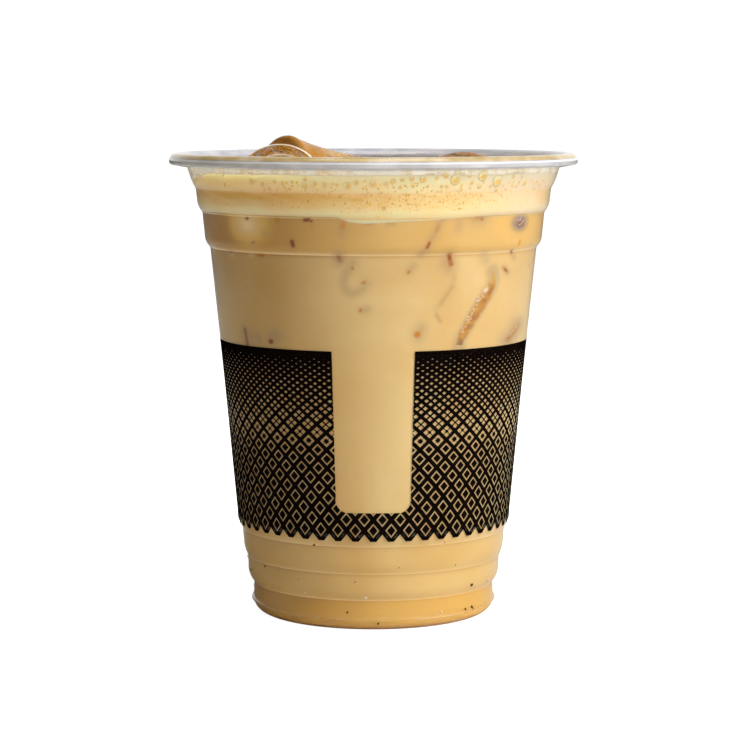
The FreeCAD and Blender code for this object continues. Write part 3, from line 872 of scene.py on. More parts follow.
def make_latte():
    th = uneven_columns()
    cols = len(th)
    items = offset_path(OUTSIDE[:NECK_ITEMS], WALL - LATTE_IN)
    bottom_z = 0.55
    low = [q for q in sampled(items, 12.0, 1.7) if q[1] < 64.0]
    prof = []
    for q in low:
        if q[0] < 22.0:
            continue
        if prof and math.hypot(q[0] - prof[-1][0], q[1] - prof[-1][1]) < 0.28:
            continue
        prof.append(q)
    wall_r = radius_of(items, 3.3, NECK_TOP)
    start = prof[-1][1]
    n_up = 100
    for i in range(1, n_up + 1):
        z = start + (97.3 - start) * i / n_up
        prof.append((float(wall_r(z)), z))
    floor_z = prof[0][1]
    lower = [q for q in prof if q[1] < 4.6]
    upper_part = [q for q in prof if q[1] >= 4.6]
    for cr, cz in CREASES:
        if cz < 100.0:
            upper_part = [q for q in upper_part if abs(q[1] - cz) > 0.50]
            upper_part += [(float(wall_r(cz + d)), cz + d) for d in (-0.45, -0.22, -0.08, -0.02, 0.04, 0.12, 0.26, 0.45)]
    prof = lower + sorted(upper_part, key=lambda q: q[1])
    prof = [(q, floor_z) for q in (3.0, 8.0, 13.0, 18.0)] + prof
    prof = np.array(prof)
    rows = len(prof)
    R = np.repeat(prof[:, :1], cols, 1)
    Z = np.repeat(prof[:, 1:], cols, 1)
    top = latte_wall_level(th)[None, :] + 0.40
    f = np.clip((Z - 90.0) / 7.3, 0, 1)
    Z = np.where(Z > 90.0, 90.0 + f * (top - 90.0), Z)
    R = np.where(Z > 24.0, wall_r(Z), R)
    foot = (Z < 7.0) & (R > 26.3)
    R = np.where(foot, R + 0.12 * smooth((7.1 - Z) / 1.6), R)
    TH = np.repeat(th[None, :], rows, 0)
    ang = np.radians(TH)
    X, Y = R * np.sin(ang), -R * np.cos(ang)

    marks = np.zeros((rows, cols, 4))
    marks[..., 3] = 1.0
    live = Z > 60.0
    tz, tt, tr = Z[live], TH[live], R[live]
    halo, amber, dark = np.zeros(tz.shape), np.zeros(tz.shape), np.zeros(tz.shape)
    for pts, w, wh, am, dk, ha in MARKS + more_marks():
        d = distance_to(pts, tt, tz, tr)
        w = (1.20 + 0.30 * dk) * w
        core = 1.0 - smooth((d - 0.50 * w) / (0.80 * w))
        rim = np.exp(-(d / (1.1 * wh)) ** 2)
        halo = np.maximum(halo, ha * rim)
        amber = np.maximum(amber, min(1.0, 1.1 * am) * core)
        dark = np.maximum(dark, min(1.0, 1.12 * dk) * (1.0 - smooth((d - 0.40 * w) / (0.66 * w))))
    # soft yellow and milky glows round the touching ice
    gold = np.zeros(tz.shape)
    milky_painted_light = np.zeros(tz.shape)
    d = distance_to([(-45.4, 95.2)], tt, tz, tr)
    gold = np.maximum(gold, 0.85 * np.exp(-((d - 3.6) / 1.7) ** 2))
    milky_painted_light = np.maximum(milky_painted_light, 0.75 * np.exp(-(d / 2.6) ** 2))
    d = distance_to([ROUND_END], tt, tz, tr)
    gold = np.maximum(gold, 0.55 * np.exp(-((d - 4.0) / 1.8) ** 2))
    halo = np.maximum(halo, 0.85 * (1.0 - smooth((d - 1.3) / 1.6)))
    d = distance_to([(q[0], q[1]) for q in LONG_EDGE], tt, tz, tr)
    halo = np.maximum(halo, 0.50 * (1.0 - smooth((d - 0.7) / 1.7)))
    halo = np.maximum(halo, 0.0)
    d = distance_to([(-57.4, 87.8)], tt, tz, tr)
    milky_painted_light = np.maximum(milky_painted_light, 0.4 * np.exp(-(d / 0.6) ** 2))
    d = distance_to([(-46.2, 88.0)], tt, tz, tr)
    milky_painted_light = np.maximum(milky_painted_light, 0.3 * np.exp(-(d / 0.6) ** 2))
    marks[..., 0][live] = halo
    marks[..., 1][live] = amber
    marks[..., 2][live] = dark
    # broad shifts of tone: painted shade, darker and more golden toward the left, away from the lamps; more golden over
    # the top band and the foot
    tint = np.zeros((rows, cols, 4))
    tint[..., 3] = 1.0
    dth = (TH + 180.0) % 360.0 - 180.0
    band = smooth((Z - 88.9) / 0.6) * (1.0 - 0.3 * smooth((Z - 95.5) / 1.5))
    leftness = smooth((-dth + 10.0) / 70.0) * smooth((200.0 - np.abs(dth)) / 60.0)
    wob = 0.5 + 0.5 * np.sin(0.11 * TH + 2.0 * np.sin(0.07 * Z)) * np.cos(0.13 * Z - 0.05 * TH)
    upper = smooth((Z - 66.0) / 20.0)
    tint[..., 0] = np.clip(0.53 * band + 0.26 * smooth((21.0 - Z) / 2.0) * (Z >= 7.26) + 0.78 * (Z < 7.26) + leftness * (0.26 + 0.24 * upper * wob), 0, 1)
    crease_shade = np.zeros_like(Z)
    shine = np.zeros_like(Z)
    # painted shade in a band just under each crease, and a painted highlight line just above it
    for cz, depth, bright in ((88.5, 0.55, 0.65), (96.9, 0.35, 0.25), (20.4, 0.45, 0.35), (13.75, 0.45, 0.35), (7.25, 0.30, 0.60)):
        under = np.clip(cz - Z, 0.0, None)
        over = np.clip(Z - cz, 0.0, None)
        crease_shade = np.maximum(crease_shade, depth * np.exp(-(under / 0.45) ** 1.3) * (Z <= cz - 0.01))
        shine = np.maximum(shine, bright * np.exp(-(over / 0.38) ** 2) * (Z > cz))
    # painted shade: darker toward the left and in a band under each crease
    tint[..., 1] = np.clip(leftness * (0.27 * band + 0.26 * upper * (0.4 + 0.6 * wob) + 0.25 * (Z < 7.26)) + crease_shade, 0, 1)
    tint[..., 0][live] = np.maximum(tint[..., 0][live], gold)
    tint[..., 1][live] *= 1.0 - np.clip(1.1 * gold, 0, 1)
    tint[..., 3] = 0.0
    tint[..., 3][live] = gold
    # darker along the very bottom edge
    tint[..., 1] = np.maximum(tint[..., 1], 0.8 * smooth((1.15 - Z) / 0.5))
    tint[..., 2] = shine
    tint[..., 2][live] = np.maximum(tint[..., 2][live], milky_painted_light)
    verts = np.stack([X, Y, Z], -1).reshape(-1, 3)
    faces = [grid_faces(rows, cols)]
    n = len(verts)
    inner_rings = []
    for q in (0.97, 0.85, 0.6, 0.3):
        zr = np.full(cols, LATTE_MID_Z + 0.45) if q < 0.9 else top[0] * 0.5 + 0.5 * (LATTE_MID_Z + 0.45)
        inner_rings.append(np.stack([X[-1] * q, Y[-1] * q, zr], -1))
    tops = np.concatenate(inner_rings)
    allv = np.concatenate([verts, tops, [[0, 0, floor_z]], [[0, 0, LATTE_MID_Z + 0.45]]])
    k = np.arange(cols)
    k1 = (k + 1) % cols
    starts = [(rows - 1) * cols] + [n + i * cols for i in range(4)]
    for u, v in zip(starts[:-1], starts[1:]):
        faces.append(np.stack([u + k, u + k1, v + k1, v + k], -1))
    c_bottom, c_top = n + 4 * cols, n + 4 * cols + 1
    faces.append(np.stack([starts[-1] + k, starts[-1] + k1, np.full(cols, c_top)], -1))
    faces.append(np.stack([np.full(cols, c_bottom), k1, k], -1))

    def spread(a):
        full = np.zeros((len(allv), 4))
        full[:, 3] = a[0, 0, 3]
        full[:rows * cols] = a.reshape(-1, 4)
        return full

    pile = Pile()
    pile.add(allv, faces, spread(marks))
    ob = pile.build("latte_body", latte_material(), "latte", attribute="marks")
    att = ob.data.color_attributes.new("tint", "FLOAT_COLOR", "POINT")
    att.data.foreach_set("color", spread(tint).ravel().astype(np.float32))
    return ob


# ---- ice that shows through the wall -------------------------------------
def wall_point(th, z, out):
    r = inner_r(z) + LATTE_IN + out - (3.0 - np.sqrt(9.0 - np.clip(3.0 - z, 0.0, 3.0) ** 2))
    a = np.radians(th)
    return np.stack([r * np.sin(a), -r * np.cos(a), z], -1)


def wall_patch(pile, TH, Z, out, colours):
    """A thin closed skin over a grid of wall positions."""
    rows, cols = TH.shape
    top = wall_point(TH, Z, out).reshape(-1, 3)
    back = wall_point(TH, Z, -0.09).reshape(-1, 3)
    q = grid_faces(rows, cols, False)
    n = rows * cols
    edge = np.concatenate([np.arange(cols), (np.arange(1, rows)) * cols + cols - 1,
                           (rows - 1) * cols + np.arange(cols - 2, -1, -1),
                           np.arange(rows - 2, 0, -1) * cols])
    nxt = np.roll(edge, -1)
    # orientation: outward when rows go up and columns go round anticlockwise
    p0, p1, p2 = top[q[0, 0]], top[q[0, 1]], top[q[0, 2]]
    normal = np.cross(p1 - p0, p2 - p0)
    outward = np.array([p0[0], p0[1], 0.0])
    side = np.stack([nxt, edge, edge + n, nxt + n], -1)
    if normal @ outward < 0:
        q = q[:, ::-1]
        side = side[:, ::-1]
    c = colours.reshape(-1, 4)
    pile.add(np.concatenate([top, back]), [q, q[:, ::-1] + n, side], np.concatenate([c, c]))


def make_sunk_ice():
    """Contact faces of cubes under the surface, just through the coffee."""
    pile = Pile()
    r = np.random.default_rng(5)

    def long_edge(run, seed):
        rr = np.random.default_rng(seed)
        pts = np.array(run)
        k = np.pi / 180.0 * 37.5
        xy = np.stack([pts[:, 0] * k, pts[:, 1]], -1)
        seg = np.hypot(*np.diff(xy, axis=0).T)
        s = np.concatenate([[0], np.cumsum(seg)])
        t = np.linspace(0, s[-1], 90)
        px, pz = np.interp(t, s, xy[:, 0]), np.interp(t, s, xy[:, 1])
        px = np.convolve(np.pad(px, 4, mode="edge"), np.ones(9) / 9, "valid")
        pz = np.convolve(np.pad(pz, 4, mode="edge"), np.ones(9) / 9, "valid")
        w = 1.95 * np.interp(t, s, pts[:, 2]) * (1 + 0.07 * np.sin(2.3 * t) + 0.05 * np.sin(5.1 * t + 1))
        dx, dz = np.gradient(px), np.gradient(pz)
        nn = np.hypot(dx, dz)
        nx, nz = -dz / nn, dx / nn
        v = np.linspace(-1, 1, 25)
        A = px[:, None] + nx[:, None] * w[:, None] * v
        B = pz[:, None] + nz[:, None] * w[:, None] * v
        out = 0.005 + 0.055 * (1 - np.abs(v) ** 4)[None, :] * np.ones_like(A) - 0.03 * (np.abs(v) > 0.99)
        along = (t / s[-1])[:, None] * np.ones_like(A)
        V = v[None, :] * np.ones_like(A)
        amber = np.array(srgb(190, 132, 30))
        deep = np.array(srgb(164, 100, 12))
        pale = np.array(srgb(212, 172, 88))
        edge_c = np.array(srgb(196, 164, 116))
        olive = np.array(srgb(128, 92, 28))
        mix1 = 0.5 + 0.5 * np.sin(1.7 * t[:, None] + 2.2 * V + 1.3 * np.sin(0.9 * t)[:, None])
        C = amber + (deep - amber) * (mix1 * np.exp(-((V - 0.15) / 0.5) ** 2))[..., None]
        C = C + (pale - C) * (smooth((0.22 - along) / 0.12) * 0.55)[..., None]
        C = C + (edge_c - C) * (smooth((np.abs(V) - 0.55) / 0.35) * 0.85)[..., None]
        C = C + (olive - C) * (smooth((along - 0.88) / 0.08) * np.exp(-(V / 0.7) ** 2))[..., None]
        # pale wedge low down on one side near the top
        wedge = np.exp(-((along - 0.28) / 0.045) ** 2) * np.exp(-((V + 0.55) / 0.30) ** 2)
        C = C + (np.array(srgb(240, 220, 180)) - C) * np.clip(wedge, 0, 1)[..., None] * 0.8
        # painted glints along one edge
        painted_glints = np.zeros_like(A)
        for _ in range(46):
            a0, v0 = rr.uniform(0.36, 0.86), rr.normal(-0.45, 0.16)
            painted_glints = np.maximum(painted_glints, rr.uniform(0.35, 0.95) * np.exp(-((along - a0) / rr.uniform(0.003, 0.008)) ** 2
                                                                      - ((V - v0) / rr.uniform(0.05, 0.12)) ** 2))
        C = C + (np.array(srgb(246, 236, 214)) - C) * painted_glints[..., None]
        full = np.concatenate([C, np.ones(C.shape[:2] + (1,))], -1)
        wall_patch(pile, A / k, B, out, full)

    long_edge(LONG_EDGE, 3)
    long_edge([(66.4, 71.8, 0.10), (65.2, 70.8, 0.34), (63.5, 69.8, 0.44), (60.8, 68.6, 0.42), (58.6, 67.8, 0.22)], 5)
    long_edge([(118.0, 88.0, 0.15), (119.5, 85.0, 0.6), (119.0, 82.0, 0.95), (116.0, 79.0, 1.0), (112.5, 76.0, 0.9), (110.0, 73.5, 0.6), (109.2, 72.0, 0.2)], 8)
    long_edge([(-128.0, 93.0, 0.15), (-129.5, 90.0, 0.7), (-127.0, 86.0, 1.0), (-122.0, 81.5, 1.0), (-119.0, 78.0, 0.7), (-118.0, 75.5, 0.2)], 9)
    long_edge([(171.0, 82.0, 0.15), (173.0, 78.5, 0.8), (176.5, 74.0, 1.0), (179.5, 70.5, 0.8), (181.0, 68.0, 0.2)], 10)

    def round_end(th0, z0, R, seed):
        rr = np.random.default_rng(seed)
        k = np.pi / 180.0 * 40.6
        u = np.linspace(-1, 1, 33)
        U, W = np.meshgrid(u, u)
        # square grid drawn in to a disc
        su = U * np.sqrt(1 - W * W / 2)
        sw = W * np.sqrt(1 - U * U / 2)
        rad = np.hypot(su, sw)
        th = th0 + su * R / k * (1.0 / max(0.45, math.cos(math.radians(th0))) if abs(th0) < 75.0 else 1.0)
        z = z0 + sw * R * 1.05
        tone = (np.sin(7.0 * su + 3 * np.sin(4 * sw + seed)) * np.sin(6.0 * sw - 2.2 * su + 1.0))
        C = np.array(srgb(160, 126, 104)) + (np.array(srgb(120, 78, 46)) - np.array(srgb(160, 126, 104))) * np.clip(0.5 + 0.6 * tone, 0, 1)[..., None]
        spot = np.exp(-((su - 0.25) / 0.22) ** 2 - ((sw + 0.15) / 0.42) ** 2)
        C = C + (np.array(srgb(150, 84, 20)) - C) * (0.85 * spot)[..., None]
        white = np.zeros_like(su)
        for _ in range(16):
            a, b = rr.normal(0, 0.42, 2)
            white = np.maximum(white, rr.uniform(0.4, 0.95) * np.exp(-((su - a) ** 2 + (sw - b) ** 2) / rr.uniform(0.05, 0.11) ** 2))
        C = C + (np.array(srgb(236, 226, 212)) - C) * white[..., None]
        C = C + (np.array(srgb(168, 146, 128)) - C) * (smooth((rad - 0.60) / 0.38) * 0.9)[..., None]
        out = 0.005 + 0.05 * (1 - rad ** 4)
        full = np.concatenate([C, np.ones(C.shape[:2] + (1,))], -1)
        wall_patch(pile, th, z, out, full)

    round_end(ROUND_END[0], ROUND_END[1], 1.55, 2)
    round_end(139.0, 93.5, 1.5, 6)
    round_end(-96.0, 90.5, 1.4, 7)
    mat = coloured_material("sunk_cube", "tone", 0.30, 0.35)
    return pile.build("sunk_ice", mat, attribute="tone")


# ==================================================================== foam ==
def foam_wall_top(th):
    """Height where the foam meets the wall: full at the front, pulled away
    from the flared neck at the sides."""
    a = np.radians(th)
    d = (th + 180.0) % 360.0 - 180.0
    left = smooth((np.abs(d + 96.0) * -1 + 42.0) / 30.0)
    right = smooth((np.abs(d - 98.0) * -1 + 34.0) / 24.0)
    return (106.85 - 2.6 * left - 1.5 * right
            + 0.07 * np.sin(9 * a) + 0.05 * np.sin(23 * a + 1.0) + 0.03 * np.sin(41 * a))


def wavy(x, y):
    return (np.sin(0.21 * x + 0.6) * np.cos(0.17 * y - 0.4)
            + 0.6 * np.sin(0.33 * y + 0.19 * x + 1.7))


def make_foam():
    cols = 720
    th = np.arange(cols) * 360.0 / cols
    ang = np.radians(th)
    low = latte_wall_level(th) - 0.02
    high = foam_wall_top(th)
    rows_wall = 46
    t = np.linspace(0, 1, rows_wall)[:, None]
    Z = low[None, :] + (high - low)[None, :] * t
    R = inner_r(Z) + FOAM_IN
    R[0] -= 0.12
    X, Y = R * np.sin(ang), -R * np.cos(ang)
    TH = np.repeat(th[None, :], rows_wall, 0)
    verts = [np.stack([X, Y, Z], -1).reshape(-1, 3)]
    n = rows_wall * cols
    # colour by height and side
    shade = np.zeros((rows_wall, cols, 4))
    shade[..., 3] = 1
    zz = Z
    dd = (TH + 180.0) % 360.0 - 180.0
    mottled = 0.5 + 0.5 * np.sin(0.31 * TH + 2.0 * np.sin(zz * 1.3)) * np.cos(zz * 1.1 + TH * 0.13)
    golden = 0.32 * np.exp(-((zz - 101.9) / 0.75) ** 2) + 0.30 * np.exp(-((zz - 100.9) / 1.8) ** 2)
    golden = golden * (1.0 - 0.75 * smooth((dd - 12.0) / 40.0) * smooth((150.0 - dd) / 40.0))
    golden = golden + 0.42 * np.exp(-((zz - 102.0) / 1.7) ** 2) * smooth((-dd - 6.0) / 24.0)
    golden = golden + 0.45 * np.exp(-((zz - 105.3) / 0.9) ** 2) * smooth((-dd - 20.0) / 30.0)
    golden = golden + 0.55 * np.exp(-((zz - 97.0) / 0.22) ** 2)
    # a smeared golden patch under the bubbles at the front
    golden = golden + 0.55 * np.exp(-((dd + 5.3) / 2.2) ** 2 - ((zz - 101.4) / 0.45) ** 2)
    pale = (0.35 * smooth((zz - 102.6) / 0.5) * (1 - 0.6 * smooth((-dd - 10.0) / 30.0))
            + 0.22 * smooth((zz - 104.6) / 1.2) + 0.22 * np.exp(-((zz - 98.2) / 0.9) ** 2)
            + 0.6 * (1.0 - smooth((zz - 96.0) / 0.7)))
    shade[..., 0] = np.clip(golden * (0.7 + 0.5 * mottled), 0, 1)
    shade[..., 1] = np.clip(pale, 0, 1)
    cloud = (0.25 + 0.75 * np.exp(-((dd + 20.0) / 16.0) ** 2) + 0.6 * np.exp(-((dd - 17.0) / 16.0) ** 2)
             + 0.45 * smooth((np.abs(dd) - 80.0) / 30.0))
    # painted shade: darker on the side toward the key lamp
    shade[..., 3] = smooth((dd - 12.0) / 48.0) * smooth((165.0 - dd) / 60.0)
    shade[..., 2] = np.clip(cloud * smooth((zz - 98.0) / 1.2) * (1.0 - 0.75 * smooth((zz - 103.0) / 1.5)), 0, 1)
    cvals = [shade.reshape(-1, 4)]
    # top: rings that close in, with a rounded edge at the wall
    rings = 84
    start_r = R[-1]
    faces = [grid_faces(rows_wall, cols)]
    prev = (rows_wall - 1) * cols
    k = np.arange(cols)
    k1 = (k + 1) % cols
    s = 1.0 - (np.arange(1, rings + 1) / (rings + 1)) ** 1.0
    fields = []
    for i, q in enumerate(s):
        r = start_r * q
        x, y = r * np.sin(ang), -r * np.cos(ang)
        inward = start_r - r
        mid = FOAM_MID_Z + 0.16 * wavy(x, y)
        edge = np.exp(-(inward / 1.6) ** 1.2)
        z = mid + (high - mid) * edge
        z = z + 0.10 * np.sin(1.9 * x + 0.7 * np.sin(1.3 * y)) * np.sin(1.7 * y + 0.9) * (1 - edge)
        z = z + 0.05 * np.sin(4.3 * x + 1.1) * np.sin(3.9 * y) * (1 - edge)
        fields.append(np.stack([x, y, z], -1))
        c = np.zeros((cols, 4))
        c[:, 3] = 0
        c[:, 0] = 0.25 + 0.25 * np.sin(0.31 * x + 1.1 * np.sin(0.23 * y)) * np.cos(0.27 * y)
        c[:, 1] = 0.30 + 0.3 * np.cos(0.19 * x - 0.4) * np.sin(0.29 * y + 0.6)
        c[:, 2] = 0.95
        cvals.append(c)
    verts += fields
    for i in range(rings):
        cur = n + i * cols
        faces.append(np.stack([prev + k, prev + k1, cur + k1, cur + k], -1))
        prev = cur
    top_c = n + rings * cols
    verts.append(np.array([[0, 0, FOAM_MID_Z]]))
    faces.append(np.stack([prev + k, prev + k1, np.full(cols, top_c)], -1))
    cvals.append(np.array([[0.2, 0.3, 0.9, 0]]))
    # underside, hidden in the coffee
    m = top_c + 1
    rb = R[0] * 0.9
    verts.append(np.stack([rb * np.sin(ang), -rb * np.cos(ang), low - 0.8], -1))
    verts.append(np.array([[0, 0, LATTE_MID_Z - 0.8]]))
    cvals.append(np.tile([[0.2, 0.2, 0.0, 0]], (cols + 1, 1)))
    faces.append(np.stack([m + k, m + k1, k1, k], -1))
    faces.append(np.stack([np.full(cols, m + cols), m + k1, m + k], -1))
    pile = Pile()
    pile.add(np.concatenate([np.asarray(v) for v in verts]), faces, np.concatenate(cvals))
    return pile.build("foam_head", foam_material(), "foam", attribute="shade")


# Larger bubbles pressed against the wall: degrees round, height, radius, kind
# (0 plain golden, 1 with a pale flat upper part).
BUBBLES = [
    (40.1, 105.31, 1.36, 1), (34.1, 106.56, 1.23, 1), (24.9, 105.77, 1.27, 0), (53.6, 104.63, 0.68, 0), (50.2, 104.96, 0.45, 0),
    (59.1, 104.44, 0.41, 0), (30.7, 104.97, 0.5, 0), (33.7, 104.13, 0.59, 0), (27.3, 103.53, 0.55, 0), (20.8, 104.29, 0.45, 0),
    (35.4, 102.22, 0.55, 0), (32.3, 102.02, 0.3, 0), (39.7, 102.5, 0.3, 0), (42.6, 102.31, 0.3, 0), (27.9, 102.08, 0.23, 0),
    (56.6, 102.58, 0.34, 0), (45.2, 104.78, 0.3, 0), (14.7, 105.93, 0.82, 0), (11.3, 106.06, 0.59, 0), (8.5, 105.85, 0.5, 0),
    (8.0, 104.22, 0.5, 0), (11.8, 104.59, 0.55, 0), (16.4, 104.4, 0.36, 0), (18.9, 106.19, 0.45, 0), (3.8, 104.96, 0.55, 0),
    (-0.1, 104.96, 0.86, 0), (-4.9, 105.22, 0.64, 0), (-7.7, 104.52, 0.91, 0), (-10.8, 104.75, 0.41, 0), (-12.6, 104.2, 0.32, 0),
    (-14.5, 104.73, 0.68, 0), (-17.6, 104.84, 0.68, 0), (-20.7, 104.47, 0.8, 0), (-28.0, 104.87, 0.5, 0), (-30.7, 105.2, 0.5, 0),
    (-24.6, 105.23, 0.45, 0), (-1.5, 103.09, 0.32, 0), (2.4, 103.0, 0.45, 0), (1.7, 101.4, 0.55, 0), (-4.3, 99.6, 0.41, 0),
    (6.1, 104.23, 0.32, 0), (13.4, 103.1, 0.36, 0), (-2.2, 104.46, 0.27, 0), (21.7, 106.73, 0.68, 0), (29.6, 106.53, 0.45, 0),
    (46.6, 106.15, 0.45, 0), (66.0, 103.53, 0.41, 0), (66.4, 104.92, 0.36, 0),
]


def disc_patch(pile, th0, z0, R, out0, lift, colour_fn, rings=5, segs=20, squash=1.0):
    """A low dome on the wall."""
    k = np.pi / 180.0 * float(inner_r(z0))
    ang = np.arange(segs) * 2 * np.pi / segs
    rad = (np.arange(1, rings + 1) / rings)
    TH = th0 + (rad[:, None] * np.cos(ang) * R) / k
    Z = z0 + rad[:, None] * np.sin(ang) * R * squash
    out = out0 + lift * (1 - rad[:, None] ** 2) + 0 * TH
    out[-1] = out0 - 0.07
    ring = wall_point(TH, Z, out).reshape(-1, 3)
    c = wall_point(np.array([th0]), np.array([z0]), out0 + lift)
    b = wall_point(np.array([th0]), np.array([z0]), out0 - 0.12)
    verts = np.concatenate([ring, c, b])
    n = rings * segs
    j = np.arange(segs)
    j1 = (j + 1) % segs
    faces = [np.stack([np.full(segs, n), j, j1], -1)]
    if rings > 1:
        i = np.arange(rings - 1)[:, None] * segs
        faces.append(np.stack([i + j, i + segs + j, i + segs + j1, i + j1], -1).reshape(-1, 4))
    last = (rings - 1) * segs
    faces.append(np.stack([np.full(segs, n + 1), last + j1, last + j], -1))
    cols = np.ones((len(verts), 4))
    cols[:n, :3] = colour_fn(np.repeat(rad[:, None], segs, 1), np.repeat(ang[None, :], rings, 0)).reshape(-1, 3)
    cols[n, :3] = colour_fn(np.array([[0.0]]), np.array([[0.0]])).reshape(3)
    cols[n + 1, :3] = cols[0, :3]
    pile.add(verts, faces, cols)


def make_bubbles():
    pile = Pile()
    r = np.random.default_rng(31)
    body = np.array(srgb(246, 208, 124))
    deep = np.array(srgb(230, 172, 66))
    lightc = np.array(srgb(255, 240, 196))
    line_c = np.array(srgb(226, 176, 84))

    def look(seed, strength=1.0, flat=0.0):
        # painted light on each bubble: darker toward one side as painted shade, a painted glint and a painted light
        # ring, and a darker edge line on the shaded side
        turn = -0.9 + 0.5 * math.sin(seed)

        def fn(rad, ang):
            g = np.clip(0.45 + 0.55 * np.cos(ang - turn) * rad, 0, 1) * strength
            c = body + (deep - body) * g[..., None]
            glint = np.exp(-((rad - 0.55) / 0.22) ** 2) * np.clip(np.cos(ang - turn - math.pi), 0, 1) ** 2
            c = c + (lightc - c) * (0.75 * glint)[..., None]
            if flat:
                up = smooth((rad * np.sin(ang) - 0.05) / 0.25)
                c = c + (np.array(srgb(244, 226, 180)) - c) * (0.7 * up)[..., None]
            rim = np.exp(-((rad - 0.82) / 0.13) ** 2)
            c = c + (lightc - c) * (0.60 * rim)[..., None]
            edge = smooth((rad - 0.90) / 0.1)
            c = c + (line_c - c) * (0.65 * edge * (0.4 + 0.6 * np.clip(np.cos(ang - turn), 0, 1)))[..., None]
            return c
        return fn

    def dot_look(k):
        cols = [srgb(240, 184, 52), srgb(244, 196, 78), srgb(232, 168, 34), srgb(246, 206, 104)]
        c0 = np.array(cols[k % 4])
        c1 = np.array(srgb(244, 214, 140))

        def fn(rad, ang):
            return c0 + (c1 - c0) * (smooth((rad - 0.55) / 0.45) * 0.7)[..., None]
        return fn

    taken = []
    for i, (th, z, rad, kind) in enumerate(BUBBLES):
        disc_patch(pile, th, z, rad, 0.125, 0.05, look(i * 1.7, 0.85, kind), 8, 28)
        taken.append((th, z, rad))

    def clear_of(th, z, rad, gap=0.05):
        for t, y, q in taken:
            dx = ((th - t + 180) % 360 - 180) * 0.74
            if dx * dx + (z - y) ** 2 < (rad + q + gap) ** 2:
                return False
        return True

    def scatter(count, pick, radii, fine, seed):
        rr = np.random.default_rng(seed)
        done, tries = 0, 0
        while done < count and tries < count * 30:
            tries += 1
            th, z = pick(rr)
            if not (97.4 < z < 106.6):
                continue
            rad = radii(rr)
            if not clear_of(th, z, rad):
                continue
            taken.append((th, z, rad))
            if rad > 0.30:
                disc_patch(pile, th, z, rad, 0.125, 0.04, look(tries * 0.7, rr.uniform(0.5, 0.9)), 6, 18)
            else:
                disc_patch(pile, th, z, rad, 0.125, 0.02, dot_look(int(rr.integers(0, 4))), 3, 10)
            done += 1

    # medium bubbles along the top of the head
    scatter(46, lambda q: (q.uniform(-42, 66), q.normal(104.5, 0.75)), lambda q: 0.22 + 0.55 * q.random() ** 2.2, False, 1)
    scatter(90, lambda q: (q.uniform(66, 318), q.normal(104.4, 0.85)), lambda q: 0.22 + 0.8 * q.random() ** 2.4, False, 2)
    # fine golden bubbles in two drifts at the front
    scatter(190, lambda q: (q.normal(-20, 10), q.normal(101.6, 1.0)), lambda q: 0.07 + 0.17 * q.random() ** 2, True, 3)
    scatter(210, lambda q: (q.normal(16, 12), q.normal(101.3, 1.1)), lambda q: 0.07 + 0.20 * q.random() ** 2, True, 4)
    scatter(60, lambda q: (q.normal(2, 9), q.normal(99.8, 0.9)), lambda q: 0.07 + 0.22 * q.random() ** 2, True, 5)
    scatter(70, lambda q: (q.uniform(-60, 75), q.uniform(99.0, 105.8)), lambda q: 0.06 + 0.10 * q.random(), True, 6)
    scatter(520, lambda q: (q.uniform(70, 310), q.normal(101.6, 1.5)), lambda q: 0.07 + 0.22 * q.random() ** 2, True, 7)
    # the bubbles glow a little: painted light
    mat = coloured_material("bubble_wall", "tone", 0.4, 0.06, sss=0.35, scale=0.0012, wobble=0.00001, glow=0.11, uneven=0.3)
    return pile.build("foam_bubbles", mat, attribute="tone")


def make_froth():
    """Domes of froth over the open top of the head."""
    pile = Pile()
    r = np.random.default_rng(61)
    for i in range(900):
        a = r.uniform(0, 2 * np.pi)
        q = math.sqrt(r.uniform(0, 1)) * 43.6
        x, y = q * math.cos(a), q * math.sin(a)
        rad = 0.22 + 0.9 * r.random() ** 3.0
        z = FOAM_MID_Z + 0.16 * float(wavy(x, y)) + 0.02
        segs, rings = (12, 4) if rad > 0.45 else (8, 3)
        ang = np.arange(segs) * 2 * np.pi / segs
        el = (np.arange(rings) / rings) * 0.5 * np.pi
        pts = []
        for e in el:
            pts.append(np.stack([x + rad * math.cos(e) * np.cos(ang), y + rad * math.cos(e) * np.sin(ang),
                                 np.full(segs, z - 0.25 * rad + 0.72 * rad * math.sin(e))], -1))
        verts = np.concatenate(pts + [[[x, y, z + 0.47 * rad]], [[x, y, z - 0.35 * rad]]])
        n = rings * segs
        j = np.arange(segs)
        j1 = (j + 1) % segs
        k = np.arange(rings - 1)[:, None] * segs
        faces = [np.stack([k + j, k + j1, k + segs + j1, k + segs + j], -1).reshape(-1, 4),
                 np.stack([(rings - 1) * segs + j, (rings - 1) * segs + j1, np.full(segs, n)], -1),
                 np.stack([np.full(segs, n + 1), j1, j], -1)]
        tone = r.random()
        c = np.array(srgb(244, 224, 174)) * (1 - tone) + np.array(srgb(228, 190, 118)) * tone
        cols = np.ones((n + 2, 4))
        cols[:, :3] = c
        cols[n, :3] = np.array(srgb(252, 240, 208))
        pile.add(verts, faces, cols)
    mat = coloured_material("froth", "tone", 0.22, 0.4, wobble=0.00001)
    return pile.build("foam_froth", mat, attribute="tone")


